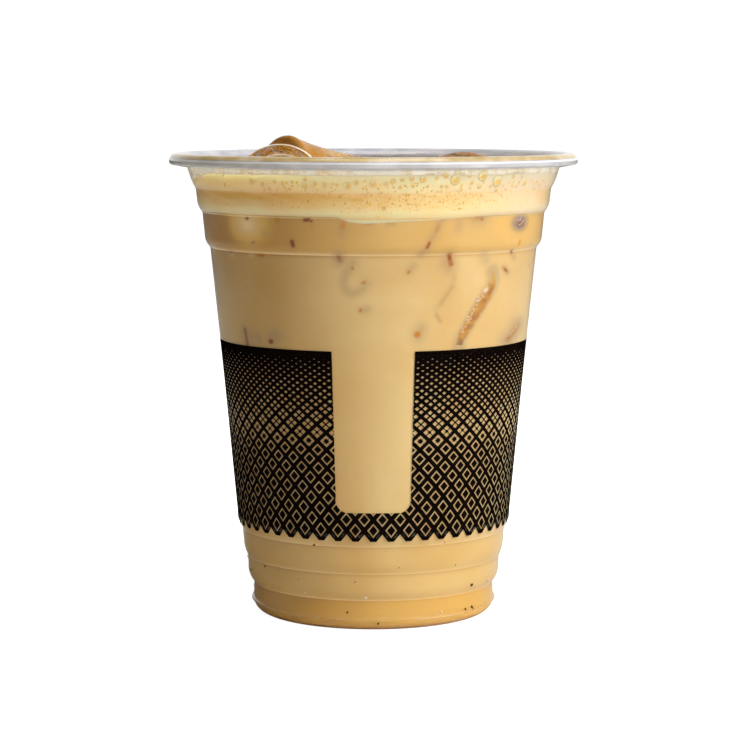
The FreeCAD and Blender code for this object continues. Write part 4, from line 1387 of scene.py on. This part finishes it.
def make_film():
    """Milk left on the inside of the neck above the head: a thin broken film."""
    mat, nt, bsdf, out = new_material("milk_film")
    p = place(nt)
    streak = noise(nt, place(nt, (1, 1, 0.8)), 260.0, 4.0, 0.6)
    a = nt.nodes.new("ShaderNodeAttribute")
    a.attribute_name = "film"
    split = nt.nodes.new("ShaderNodeSeparateColor")
    nt.links.new(a.outputs["Color"], split.inputs[0])
    base = mix_colour(nt, remap(nt, streak, 0.3, 0.7), srgb(246, 232, 196), srgb(252, 246, 232))
    nt.links.new(base, bsdf.inputs["Base Color"])
    cover = math_node(nt, "MULTIPLY", split.outputs[0], remap(nt, streak, 0.30, 0.62, 0.55, 1.0))
    drops = voronoi(nt, p, 1100.0)
    wet = remap(nt, drops.outputs["Distance"], 0.12, 0.30, 0.35, 0.0)
    cover = math_node(nt, "ADD", cover, math_node(nt, "MULTIPLY", wet, split.outputs[1]), clamp=True)
    nt.links.new(cover, bsdf.inputs["Alpha"])
    nt.links.new(remap(nt, streak, 0.3, 0.7, 0.2, 0.4), bsdf.inputs["Roughness"])
    nt.links.new(bump(nt, streak, 0.00004, 0.5), bsdf.inputs["Normal"])
    bsdf.inputs["Specular IOR Level"].default_value = 0.3
    # the film glows a little: painted light
    nt.links.new(base, bsdf.inputs["Emission Color"])
    bsdf.inputs["Emission Strength"].default_value = 0.16
    pile = Pile()
    cols = 540
    rows = 26
    th = np.arange(cols) * 360.0 / cols
    low = foam_wall_top(th) - 2.0
    high = 108.45 + 0.10 * np.sin(np.radians(th) * 13)
    t = np.linspace(0, 1, rows)[:, None]
    Z = low + (high - low) * t
    TH = np.repeat(th[None, :], rows, 0)
    a_r = np.radians(TH)
    # the neck's inside, on into the start of the rim
    prof = np.array([q for q in sampled(offset_path(OUTSIDE[:NECK_ITEMS + 1], WALL), 4.0, 0.5) if q[1] > 95.0])
    R = np.interp(Z, prof[:, 1], prof[:, 0])
    outer = np.stack([(R + 0.12) * np.sin(a_r), -(R + 0.12) * np.cos(a_r), Z], -1).reshape(-1, 3)
    inner = np.stack([(R - 0.04) * np.sin(a_r), -(R - 0.04) * np.cos(a_r), Z], -1).reshape(-1, 3)
    q = grid_faces(rows, cols)
    n = rows * cols
    k = np.arange(cols)
    k1 = (k + 1) % cols
    e = (rows - 1) * cols
    lip0 = np.stack([k1, k, k + n, k1 + n], -1)
    lip1 = np.stack([e + k, e + k1, e + k1 + n, e + k + n], -1)
    c = np.zeros((rows, cols, 4))
    c[..., 3] = 1
    dd = (TH + 180.0) % 360.0 - 180.0
    side = smooth((np.abs(dd) - 62.0) / 20.0) * smooth((128.0 - np.abs(dd)) / 20.0)
    ragged = 0.10 * np.sin(0.23 * TH) + 0.07 * np.sin(0.61 * TH + 1.0) + 0.04 * np.sin(1.7 * TH)
    c[..., 0] = np.clip((1.60 - 0.40 * t) * (1 - 0.45 * side) * smooth((1.03 - t) / 0.10), 0, 1) * smooth((t - 0.22 + ragged) / 0.42)
    c[..., 1] = smooth((1.0 - t) / 0.2) * (0.6 + 0.4 * np.sin(0.2 * TH))
    cc = c.reshape(-1, 4)
    pile.add(np.concatenate([outer, inner]), [q, q[:, ::-1] + n, lip0, lip1], np.concatenate([cc, cc]))
    return pile.build("milk_film", mat, attribute="film")


def make_specks():
    """Grounds and tiny pale bits on the inside of the wall."""
    pile = Pile()
    r = np.random.default_rng(91)
    brown = [(-25.5, 20.5, .13), (-57.0, 13.2, .15), (2.3, 1.9, .12), (53.0, 3.6, .17), (50.2, 9.2, .22), (48.1, 3.4, .15),
             (53.7, 3.2, .12), (-23.0, 60.5, .07), (9.0, 58.0, .06), (31.0, 20.8, .08), (11.0, 15.5, .07), (-8.0, 12.0, .08),
             (-47.0, 9.0, .07), (38.0, 15.0, .07), (-12.0, 4.5, .12), (5.0, 19.5, .06), (-35.0, 11.6, .08)]
    for _ in range(26):
        brown.append((r.uniform(75, 285), r.uniform(3.3, 21.0), r.uniform(0.06, 0.2)))
    white = [(-3.6, 8.1, .22), (64.6, 9.1, .2), (-32.0, 8.6, .12), (33.0, 3.8, .14)]
    for _ in range(12):
        white.append((r.uniform(80, 280), r.uniform(5, 20), r.uniform(0.1, 0.2)))
    for group, tone in ((brown, (70, 26, 0)), (white, (240, 228, 204))):
        for th, z, rad in group:
            c0 = np.array(srgb(*tone))
            disc_patch(pile, th, z, (2.1 if z < 24.0 else 1.6) * rad, 0.42 if z < 24.0 else 0.10, 0.03, lambda a, b, c0=c0: c0 + 0 * a[..., None], 2, 8,
                       squash=r.uniform(0.7, 1.2))
    # grit and wet points along the top line of the head
    for _ in range(120):
        th = r.uniform(-180, 180)
        top = float(foam_wall_top(np.array([th]))[0])
        c0 = np.array(srgb(252, 250, 246)) if r.random() < 0.8 else np.array(srgb(96, 74, 50))
        disc_patch(pile, th, top + r.normal(0.1, 0.28), r.uniform(0.05, 0.16), 0.13, 0.03,
                   lambda a, b, c0=c0: c0 + 0 * a[..., None], 2, 7, squash=r.uniform(0.5, 1.0))
    mat = coloured_material("specks", "tone", 0.5, 0.15)
    return pile.build("specks", mat, attribute="tone")


# =================================================================== print ==
# A plain lozenge net.  Its meshes grow from the straight top edge down to the
# zigzag foot; near the top each mesh is parted in four, and lower down it
# holds a small solid pip.  The front has an unprinted window.
PRINT_LOW, PRINT_HIGH = 21.9, 66.5
NET_COLS = 50
NET_ROWS = 23
WINDOW_HALF, WINDOW_LOW, WINDOW_ROUND = 14.9, 28.7, 2.8   # degrees, mm, mm
INK_OUT, INK_IN = 0.030, 0.004


def inset(poly, widths):
    """Moves each side of a convex outline inwards by its own width."""
    poly = np.asarray(poly, float)
    n = len(poly)
    centre = poly.mean(0)
    lines = []
    for i in range(n):
        a, b = poly[i], poly[(i + 1) % n]
        d = (b - a) / (np.linalg.norm(b - a) + 1e-12)
        nrm = np.array([-d[1], d[0]])
        if nrm @ (centre - a) < 0:
            nrm = -nrm
        lines.append((nrm, nrm @ a + widths[i]))
    out = []
    for i in range(n):
        (n0, c0), (n1, c1) = lines[i - 1], lines[i]
        m = np.array([n0, n1])
        p = np.linalg.solve(m, [c0, c1])
        out.append(p)
    out = np.array(out)
    for i in range(n):
        nrm, c = lines[i]
        if nrm @ out.mean(0) < c - 1e-9:
            return np.repeat(centre[None], n, 0)
    # a side turned round means the opening has closed up
    for i in range(n):
        a, b = poly[i], poly[(i + 1) % n]
        if (out[(i + 1) % n] - out[i]) @ (b - a) <= 0:
            return np.repeat(centre[None], n, 0)
    return out


def outside_window(pts):
    """Cuts a small loop back to the part outside the unprinted window."""
    k = np.pi / 180.0 * 33.8
    c = pts.mean(0)
    side = 1.0 if c[0] >= 0 else -1.0
    half = WINDOW_HALF * k
    # the window's edge nearest to the loop, in mm: rounded lower corners
    x, z = abs(c[0]) * k, c[1]
    cx, cz = half - WINDOW_ROUND, WINDOW_LOW + WINDOW_ROUND
    if x > cx and z < cz:
        n = np.array([x - cx, z - cz])
        n = n / (np.linalg.norm(n) + 1e-9)
        p0 = np.array([cx, cz]) + n * WINDOW_ROUND
    elif z - WINDOW_LOW < half - x:
        n, p0 = np.array([0.0, -1.0]), np.array([0.0, WINDOW_LOW])
    else:
        n, p0 = np.array([1.0, 0.0]), np.array([half, 0.0])
    q = np.stack([pts[:, 0] * k * side, pts[:, 1]], -1)
    d = (q - p0) @ n
    out = []
    m = len(q)
    for i in range(m):
        a, b = i, (i + 1) % m
        if d[a] >= 0:
            out.append(q[a])
        if (d[a] >= 0) != (d[b] >= 0):
            t = d[a] / (d[a] - d[b])
            out.append(q[a] + (q[b] - q[a]) * t)
    if len(out) < 3:
        return np.zeros((0, 2))
    out = np.array(out)
    return np.stack([out[:, 0] / k * side, out[:, 1]], -1)


def make_print():
    hw = 180.0 / NET_COLS
    steps = np.linspace(1.0, 2.15, NET_ROWS)
    steps = steps / steps.sum() * (PRINT_HIGH - PRINT_LOW)
    level = PRINT_HIGH - np.concatenate([[0], np.cumsum(steps)])
    level = np.concatenate([[PRINT_HIGH + steps[0]], level, [PRINT_LOW - steps[-1]]])
    shapes = []           # corner loops, each in (degrees, height)
    k_mm = np.pi / 180.0

    for row in range(0, NET_ROWS + 1):
        up, mid, down = level[row], level[row + 1], level[row + 2]
        f = row / NET_ROWS
        r_here = float(outer_r(mid))
        fine = smooth(np.array((0.58 - f) / 0.16))
        w_line = np.interp(f, [0.0, 0.08, 0.2, 0.35, 0.5, 0.7, 1.0], [0.62, 0.44, 0.38, 0.39, 0.43, 0.49, 0.54])
        w_fine = np.interp(f, [0.0, 0.08, 0.2, 0.35, 0.5, 0.6], [0.62, 0.42, 0.36, 0.29, 0.14, 0.0])
        pip = 0.47 * smooth(np.array((f - 0.42) / 0.22))
        for col in range(NET_COLS):
            tc = (col * 2 + (row % 2)) * hw
            tc = (tc + 180.0) % 360.0 - 180.0
            sx = hw * k_mm * r_here
            C, T, B = np.array([0, 0.0]), np.array([0, up - mid]), np.array([0, down - mid])
            Rt, Lt = np.array([sx, 0.0]), np.array([-sx, 0.0])
            parts = {}

            def emit(side, half, a, b, ai, bi):
                """A stroke between a mesh edge and its inset edge."""
                parts.setdefault((side, half), []).append([a, b, bi, ai])

            if f < 0.58:
                TR, TL, BR, BL = (T + Rt) / 2, (T + Lt) / 2, (B + Rt) / 2, (B + Lt) / 2
                q = inset([T, TR, C, TL], [w_line, w_fine, w_fine, w_line])
                emit(1, 1, T, TR, q[0], q[1]); emit(1, 1, TR, C, q[1], q[2])
                emit(-1, 1, C, TL, q[2], q[3]); emit(-1, 1, TL, T, q[3], q[0])
                q = inset([C, BR, B, BL], [w_fine, w_line, w_line, w_fine])
                emit(1, -1, C, BR, q[0], q[1]); emit(1, -1, BR, B, q[1], q[2])
                emit(-1, -1, B, BL, q[2], q[3]); emit(-1, -1, BL, C, q[3], q[0])
                q = inset([C, TR, Rt, BR], [w_fine, w_line, w_line, w_fine])
                emit(1, 1, C, TR, q[0], q[1]); emit(1, 1, TR, Rt, q[1], q[2])
                emit(1, -1, Rt, BR, q[2], q[3]); emit(1, -1, BR, C, q[3], q[0])
                q = inset([C, BL, Lt, TL], [w_fine, w_line, w_line, w_fine])
                emit(-1, -1, C, BL, q[0], q[1]); emit(-1, -1, BL, Lt, q[1], q[2])
                emit(-1, 1, Lt, TL, q[2], q[3]); emit(-1, 1, TL, C, q[3], q[0])
            else:
                q = inset([T, Rt, B, Lt], [w_line] * 4)
                emit(1, 1, T, Rt, q[0], q[1]); emit(1, -1, Rt, B, q[1], q[2])
                emit(-1, -1, B, Lt, q[2], q[3]); emit(-1, 1, Lt, T, q[3], q[0])
            if pip > 0.05 and row < NET_ROWS:
                for side in (1, -1):
                    for half, tip in ((1, T), (-1, B)):
                        e = Rt if side > 0 else Lt
                        parts.setdefault((side, half), []).append([C, e * pip, tip * pip])
            for (side, half), loops in parts.items():
                if row == 0 and half > 0:
                    continue
                if row == NET_ROWS and half < 0:
                    continue
                for loop in loops:
                    pts = np.array(loop)
                    pts = np.stack([tc + pts[:, 0] / (k_mm * r_here), mid + pts[:, 1]], -1)
                    if abs(tc) < WINDOW_HALF + 4.0 and mid > WINDOW_LOW - 4.0:
                        pts = outside_window(pts)
                    if len(pts) >= 3:
                        shapes.append(pts)
    pile = Pile()
    for pts in shapes:
        # drop collapsed corners
        keep = [0]
        for i in range(1, len(pts)):
            if np.hypot((pts[i, 0] - pts[keep[-1], 0]) * 0.6, pts[i, 1] - pts[keep[-1], 1]) > 1e-5:
                keep.append(i)
        if np.hypot((pts[keep[-1], 0] - pts[keep[0], 0]) * 0.6, pts[keep[-1], 1] - pts[keep[0], 1]) < 1e-5:
            keep.pop()
        pts = pts[keep]
        if len(pts) < 3:
            continue
        area = 0.0
        for i in range(len(pts)):
            a, b = pts[i], pts[(i + 1) % len(pts)]
            area += a[0] * b[1] - b[0] * a[1]
        if abs(area) < 1e-5:
            continue
        if area < 0:
            pts = pts[::-1]
        n = len(pts)
        th, z = np.radians(pts[:, 0]), pts[:, 1]
        r0 = outer_r(z) + 0.10 * smooth((24.2 - z) / 0.9)
        top = np.stack([(r0 + INK_OUT) * np.sin(th), -(r0 + INK_OUT) * np.cos(th), z], -1)
        low = np.stack([(r0 + INK_IN) * np.sin(th), -(r0 + INK_IN) * np.cos(th), z], -1)
        k = np.arange(n)
        k1 = (k + 1) % n
        face = k[None, :]
        pile.add(np.concatenate([top, low]), [face, (face + n)[:, ::-1], np.stack([k1, k, k + n, k1 + n], -1)])
    return pile.build("print_band", ink_material(), smooth_faces=False)


# ===================================================================== ice ==
def ice_mesh(pile, stains, r, bore, length, edge, crown, at, axis, seed, mottled, lumps=0.18):
    """Round ice with melted edges, uneven within its CAD size."""
    axis = np.array(axis, float)
    axis /= np.linalg.norm(axis)
    side = np.cross(axis, [0, 0, 1.0])
    side /= np.linalg.norm(side)
    up = np.cross(side, axis)
    prof = []

    def body_r(s):
        return r - crown * (2.0 * s / length - 1.0) ** 2

    n_edge = 9
    re = body_r(0.0)
    # near end, from the bore (or the axis) out
    inner0 = bore + (0.5 * edge if bore else 0.0)
    face_n = 14
    for i in range(face_n):
        prof.append((inner0 + (re - edge - inner0) * i / face_n, 0.0, 1.0))
    for i in range(n_edge + 1):
        a = 0.5 * math.pi * i / n_edge
        prof.append((re - edge + edge * math.sin(a), edge - edge * math.cos(a), 1.0 - i / n_edge))
    n_side = 46
    for i in range(1, n_side):
        s = edge + (length - 2 * edge) * i / n_side
        prof.append((body_r(s), s, 0.0))
    rf = body_r(length)
    for i in range(n_edge + 1):
        a = 0.5 * math.pi * i / n_edge
        prof.append((rf - edge + edge * math.cos(a), length - edge + edge * math.sin(a), i / n_edge))
    for i in range(1, face_n + 1):
        prof.append((rf - edge + (inner0 - rf + edge) * i / face_n, length, 1.0))
    if bore:
        h = 0.5 * edge
        for i in range(1, 6):
            a = 0.5 * math.pi * i / 5
            prof.append((bore + h - h * math.sin(a), length - h + h * math.cos(a), 1.0))
        n_bore = 30
        for i in range(1, n_bore):
            prof.append((bore, length - h - (length - 2 * h) * i / n_bore, 0.5))
        for i in range(0, 5):
            a = 0.5 * math.pi * i / 5
            prof.append((bore + h - h * math.cos(a), h - h * math.sin(a), 1.0))
    prof = np.array(prof)
    if not bore:
        prof[0, 0] = prof[-1, 0] = 0.0
    cols = 168
    ang = np.arange(cols) * 2 * np.pi / cols
    P = []
    for rr, s, f in prof:
        ring = (rr * np.cos(ang))[:, None] * side + (rr * np.sin(ang))[:, None] * up + axis * s
        P.append(ring)
    P = np.array(P)
    # melted lumps: only ever inwards
    q = P + seed * 7.3
    w = (np.sin(0.55 * q[..., 0] + 1.3 * np.sin(0.41 * q[..., 1])) * np.sin(0.48 * q[..., 2] + 0.9)
         + 0.5 * np.sin(1.15 * q[..., 0] + 0.7) * np.sin(1.3 * q[..., 1] + 1.1 * np.sin(q[..., 2]))
         + 0.22 * np.sin(3.1 * q[..., 0]) * np.sin(2.7 * q[..., 2] + 0.8 * q[..., 1]))
    w = lumps * (w - 1.55) * 0.5
    centre = axis * length * 0.5
    # normals of the smooth shape, from the profile
    tang = np.gradient(prof[:, :2], axis=0)
    nr, ns = -tang[:, 1], tang[:, 0]
    norm = np.hypot(nr, ns) + 1e-9
    nr, ns = nr / norm, ns / norm
    sign = -1.0
    N = (sign * nr[:, None, None] * (np.cos(ang)[None, :, None] * side + np.sin(ang)[None, :, None] * up)
         + sign * ns[:, None, None] * axis)
    P = P + N * w[..., None]
    P = P + np.array(at)
    col = np.zeros((len(prof), cols, 4))
    col[..., 3] = 1
    stain = np.zeros((len(prof), cols, 4))
    stain[..., 3] = 1
    near_end = (prof[:, 1] < edge * 1.01)[:, None]
    s_pos = prof[:, 1][:, None] * np.ones((1, cols))
    r_pos = prof[:, 0][:, None] * np.ones((1, cols))
    X, Y, Zw = P[..., 0], P[..., 1], P[..., 2]
    foam_line = Zw - FOAM_MID_Z
    if bore:
        # the cut end: mottled ring, a painted highlight along its outline, and the bore painted white as painted glare,
        # with dark dashes
        col[..., 0] = 1.0
        outline = np.exp(-((prof[:, 0] - (re - 0.20 * edge)) / 0.12) ** 2)[:, None] * near_end
        inline = np.exp(-((prof[:, 0] - (inner0 + 0.05)) / 0.22) ** 2)[:, None] * near_end
        col[..., 1] = np.clip(1.0 * outline * (0.75 + 0.25 * np.sin(ang * 7 + 1))[None, :] + 0.5 * inline, 0, 1)
        in_bore = ((r_pos < bore + 0.02) & (s_pos > 0.01)) * 1.0
        dashes = (np.sin(ang[None, :] * 31 + 2.2 * np.sin(s_pos * 2.0)) * np.sin(s_pos * 3.1 + 2 * np.sin(ang[None, :] * 5)) > 0.55) * 1.0
        col[..., 1] = np.clip(col[..., 1] + in_bore * 0.9 * (1 - dashes), 0, 1)
        stain[..., 0] = np.clip(in_bore * dashes * 0.8, 0, 1)
        arcs = np.sin(r_pos * 5.2 + 1.6 * np.sin(ang * 6 + 1)[None, :] + 1.1 * np.sin(ang * 13)[None, :])
        stain[..., 0] = np.maximum(stain[..., 0], near_end * (1 - in_bore) * 0.55 * smooth((arcs - 0.35) / 0.5) * (0.5 + 0.5 * np.sin(ang * 4 + 0.4))[None, :])
        stain[..., 2] = near_end * (1 - in_bore) * 0.5 * smooth((-arcs - 0.2) / 0.6)
        col[..., 2] = 0.3 * smooth((0.2 - foam_line) / 0.6) * (1 - in_bore)
    elif stains == "back":
        # smooth amber round the near end and top, streaked and paler along
        # the right, darker toward its tip, foam splashed along the waterline
        a0 = smooth((s_pos - 7.0) / 3.0)
        col[..., 0] = 0.12 + 0.60 * a0
        flow = np.sin(1.9 * foam_line + 0.42 * s_pos + 1.1 * np.sin(0.5 * s_pos + 0.6 * foam_line))
        stain[..., 1] = a0 * (0.03 + 0.40 * smooth((flow - 0.1) / 0.7)) * smooth((19.0 - s_pos) / 4.0)
        stain[..., 0] = 0.50 * a0 * smooth((-flow - 0.2) / 0.6) + 0.45 * smooth((s_pos - 17.0) / 4.0)
        stain[..., 2] = 0.35 * smooth((s_pos - 14.0) / 5.0) + 0.10 * (1 - a0)
        seam = np.exp(-((s_pos - 7.4 - 0.25 * foam_line) / 0.35) ** 2)
        stain[..., 1] = np.maximum(stain[..., 1], 0.6 * seam)
        line = 0.75 + 0.55 * np.sin(0.62 * X + 1.0) + 0.25 * np.sin(1.7 * X)
        splash = smooth((line - foam_line) / 0.35) * smooth((X + 14.0) / 3.0) * smooth((-4.0 - X) / 2.0)
        col[..., 2] = np.clip(0.35 * splash + 0.7 * smooth((0.15 - foam_line) / 0.3), 0, 1)
    else:
        col[..., 0] = 0.85
        flow = np.sin(2.3 * foam_line + 0.8 * X + 1.3 * np.sin(0.9 * Y))
        stain[..., 0] = 0.35 + 0.45 * smooth((flow - 0.1) / 0.7)
        stain[..., 2] = 0.55 * smooth((-flow + 0.3) / 0.7)
        stain[..., 1] = 0.2 * np.exp(-((foam_line - 4.1) / 0.25) ** 2) * (0.5 + 0.5 * np.sin(2.4 * X))
        col[..., 2] = 0.8 * smooth((0.25 - foam_line) / 0.4)
    verts = P.reshape(-1, 3)
    rows = len(prof)
    faces = []
    if bore:
        q4 = grid_faces(rows, cols)
        k = np.arange(cols)
        k1 = (k + 1) % cols
        last = (rows - 1) * cols
        faces = [q4, np.stack([last + k, last + k1, k1, k], -1)]
        pile.add(verts, faces, col.reshape(-1, 4))
        return stain.reshape(-1, 4)
    else:
        body = P[1:-1].reshape(-1, 3)
        bc = col[1:-1].reshape(-1, 4)
        sc = stain[1:-1].reshape(-1, 4)
        m = rows - 2
        allv = np.concatenate([body, P[0, :1], P[-1, :1]])
        allc = np.concatenate([bc, col[0, :1], col[-1, :1]])
        alls = np.concatenate([sc, stain[0, :1], stain[-1, :1]])
        k = np.arange(cols)
        k1 = (k + 1) % cols
        last = (m - 1) * cols
        faces = [grid_faces(m, cols), np.stack([np.full(cols, m * cols), k1, k], -1),
                 np.stack([last + k, last + k1, np.full(cols, m * cols + 1)], -1)]
        pile.add(allv, faces, allc)
        return alls


ICE = {
    "ice_front": dict(lumps=0.02, r=10.75, bore=7.85, length=22.0, edge=0.55, crown=0.12,
                      at=(-21.55, -26.0, 102.90), axis=(-0.015, 1.0, -0.032)),
    "ice_back": dict(lumps=0.05, r=9.78, bore=0.0, length=27.0, edge=1.18, crown=-0.81,
                     at=(-23.34, 8.80, 104.80), axis=(0.7548, 0.6149, -0.2190)),
    "ice_right": dict(lumps=0.02, r=9.40, bore=0.0, length=18.0, edge=2.20, crown=2.60,
                      at=(12.90, 2.60, 101.50), axis=(1.0, 0.18, 0.02)),
}


def make_ice():
    mat = ice_material()
    for k, (name, size) in enumerate(ICE.items()):
        pile = Pile()
        stain = ice_mesh(pile, name.split("_")[1], seed=k + 1, mottled=1.0, **size)
        ob = pile.build(name + "_lump", mat, name, attribute="ice")
        att = ob.data.color_attributes.new("stain", "FLOAT_COLOR", "POINT")
        att.data.foreach_set("color", stain.ravel().astype(np.float32))


# ================================================================== studio ==
def make_studio():
    world = bpy.data.worlds.new("studio")
    bpy.context.scene.world = world
    world.use_nodes = True
    nt = world.node_tree
    nt.nodes.clear()
    out = nt.nodes.new("ShaderNodeOutputWorld")
    tex = nt.nodes.new("ShaderNodeTexCoord")

    def toward(az, el):
        dot = nt.nodes.new("ShaderNodeVectorMath")
        dot.operation = "DOT_PRODUCT"
        a, e = math.radians(az), math.radians(el)
        dot.inputs[1].default_value = (math.sin(a) * math.cos(e), -math.cos(a) * math.cos(e), math.sin(e))
        nt.links.new(tex.outputs["Generated"], dot.inputs[0])
        return dot.outputs["Value"]

    # what is seen directly: plain white
    seen = nt.nodes.new("ShaderNodeBackground")
    seen.inputs["Color"].default_value = (1, 1, 1, 1)
    seen.inputs["Strength"].default_value = 1.02
    # what shows in and through the clear sheet: a white backdrop, grey room
    behind = remap(nt, toward(180.0, 0.0), 0.55, 0.93)
    room = mix_colour(nt, behind, ROOM_GREY, (1.0, 1.0, 1.0))
    through = nt.nodes.new("ShaderNodeBackground")
    nt.links.new(room, through.inputs["Color"])
    through.inputs["Strength"].default_value = 1.0
    # what lights the drink: soft from the right, dim and warm from the left
    lit = nt.nodes.new("ShaderNodeBackground")
    glow = remap(nt, toward(ENV_AZ, 20.0), -1.0, 1.0, 0.0, 1.0, False)
    glow = math_node(nt, "POWER", glow, 2.0)
    level = math_node(nt, "ADD", math_node(nt, "MULTIPLY", glow, ENV_GAIN), ENV_BASE)
    nt.links.new(level, lit.inputs["Strength"])
    nt.links.new(mix_colour(nt, glow, ENV_DIM, (1.0, 1.0, 1.0)), lit.inputs["Color"])
    path = nt.nodes.new("ShaderNodeLightPath")
    first = nt.nodes.new("ShaderNodeMixShader")
    nt.links.new(path.outputs["Is Diffuse Ray"], first.inputs[0])
    nt.links.new(through.outputs[0], first.inputs[1])
    nt.links.new(lit.outputs[0], first.inputs[2])
    second = nt.nodes.new("ShaderNodeMixShader")
    nt.links.new(path.outputs["Is Camera Ray"], second.inputs[0])
    nt.links.new(first.outputs[0], second.inputs[1])
    nt.links.new(seen.outputs[0], second.inputs[2])
    nt.links.new(second.outputs[0], out.inputs[0])

    floor_mat, fnt, fb, fo = new_material("pale_floor")
    p = place(fnt)
    n = noise(fnt, p, 40.0, 3.0)
    col = mix_colour(fnt, remap(fnt, n, 0.3, 0.7), (0.80, 0.80, 0.80), (0.82, 0.82, 0.82))
    fnt.links.new(col, fb.inputs["Base Color"])
    fb.inputs["Roughness"].default_value = 0.9
    fb.inputs["Specular IOR Level"].default_value = 0.0
    lp = fnt.nodes.new("ShaderNodeLightPath")
    away = fnt.nodes.new("ShaderNodeVectorMath")
    away.operation = "LENGTH"
    fnt.links.new(p, away.inputs[0])
    lift = remap(fnt, away.outputs["Value"], 0.04, 0.14, FLOOR_LIFT, 1.02)
    fb.inputs["Emission Color"].default_value = (1, 1, 1, 1)
    fnt.links.new(math_node(fnt, "MULTIPLY", lp.outputs["Is Camera Ray"], lift), fb.inputs["Emission Strength"])
    me = bpy.data.meshes.new("floor")
    s = 6.0
    me.from_pydata([(-s, -s, 0), (s, -s, 0), (s, s, 0), (-s, s, 0)], [], [(0, 1, 2, 3)])
    floor = bpy.data.objects.new("floor", me)
    floor.location.z = -0.00002
    me.materials.append(floor_mat)
    bpy.context.scene.collection.objects.link(floor)

    def area(name, az, el, dist, size, power, aim=(0, 0, 0.06)):
        light = bpy.data.lights.new(name, "AREA")
        light.shape = "RECTANGLE"
        light.size, light.size_y = size
        light.energy = power
        ob = bpy.data.objects.new(name, light)
        a, e = math.radians(az), math.radians(el)
        pos = np.array([math.sin(a) * math.cos(e), -math.cos(a) * math.cos(e), math.sin(e)]) * dist + np.array(aim)
        ob.location = pos
        from mathutils import Vector
        ob.rotation_euler = (Vector(aim) - Vector(pos)).to_track_quat("-Z", "Y").to_euler()
        bpy.context.scene.collection.objects.link(ob)
        return ob

    key = area("key", KEY_AZ, 28.0, 1.1, (0.7, 0.9), KEY_POWER)
    key.data.color = (0.98, 1.0, 1.06)
    key.visible_glossy = False
    top = area("top", 20.0, 78.0, 1.0, (0.8, 0.8), TOP_POWER)
    top.data.color = (1.0, 0.90, 0.62)

    cam = bpy.data.cameras.new("camera")
    cam.lens = 121.92
    cam.sensor_width = 36.0
    cam.clip_start = 0.01
    cam.clip_end = 50.0
    ob = bpy.data.objects.new("camera", cam)
    ob.location = (0.000386, -0.6125252, 0.1250365)
    ob.rotation_euler = (math.radians(90.0 - 6.3256), 0.0, 0.0)
    bpy.context.scene.collection.objects.link(ob)
    bpy.context.scene.camera = ob
    bpy.context.scene.view_settings.view_transform = "Standard"
    cy = bpy.context.scene.cycles
    cy.max_bounces = 14
    cy.diffuse_bounces = 4
    cy.glossy_bounces = 6
    cy.transmission_bounces = 12
    cy.transparent_max_bounces = 16
    cy.caustics_reflective = False
    cy.caustics_refractive = True


ENV_BASE = 0.0
ENV_GAIN = 0.21
FLOOR_LIFT = 0.93
ROOM_GREY = (0.38, 0.35, 0.33)
ENV_AZ = 60.0
ENV_DIM = (1.0, 0.84, 0.56)
KEY_AZ = 54.0
KEY_POWER = 12.7
TOP_POWER = 4.4

make_cup()
make_rim_reflection_skin()
make_latte()
make_foam()
make_bubbles()
make_froth()
make_film()
make_specks()
make_sunk_ice()
make_print()
make_ice()
make_studio()
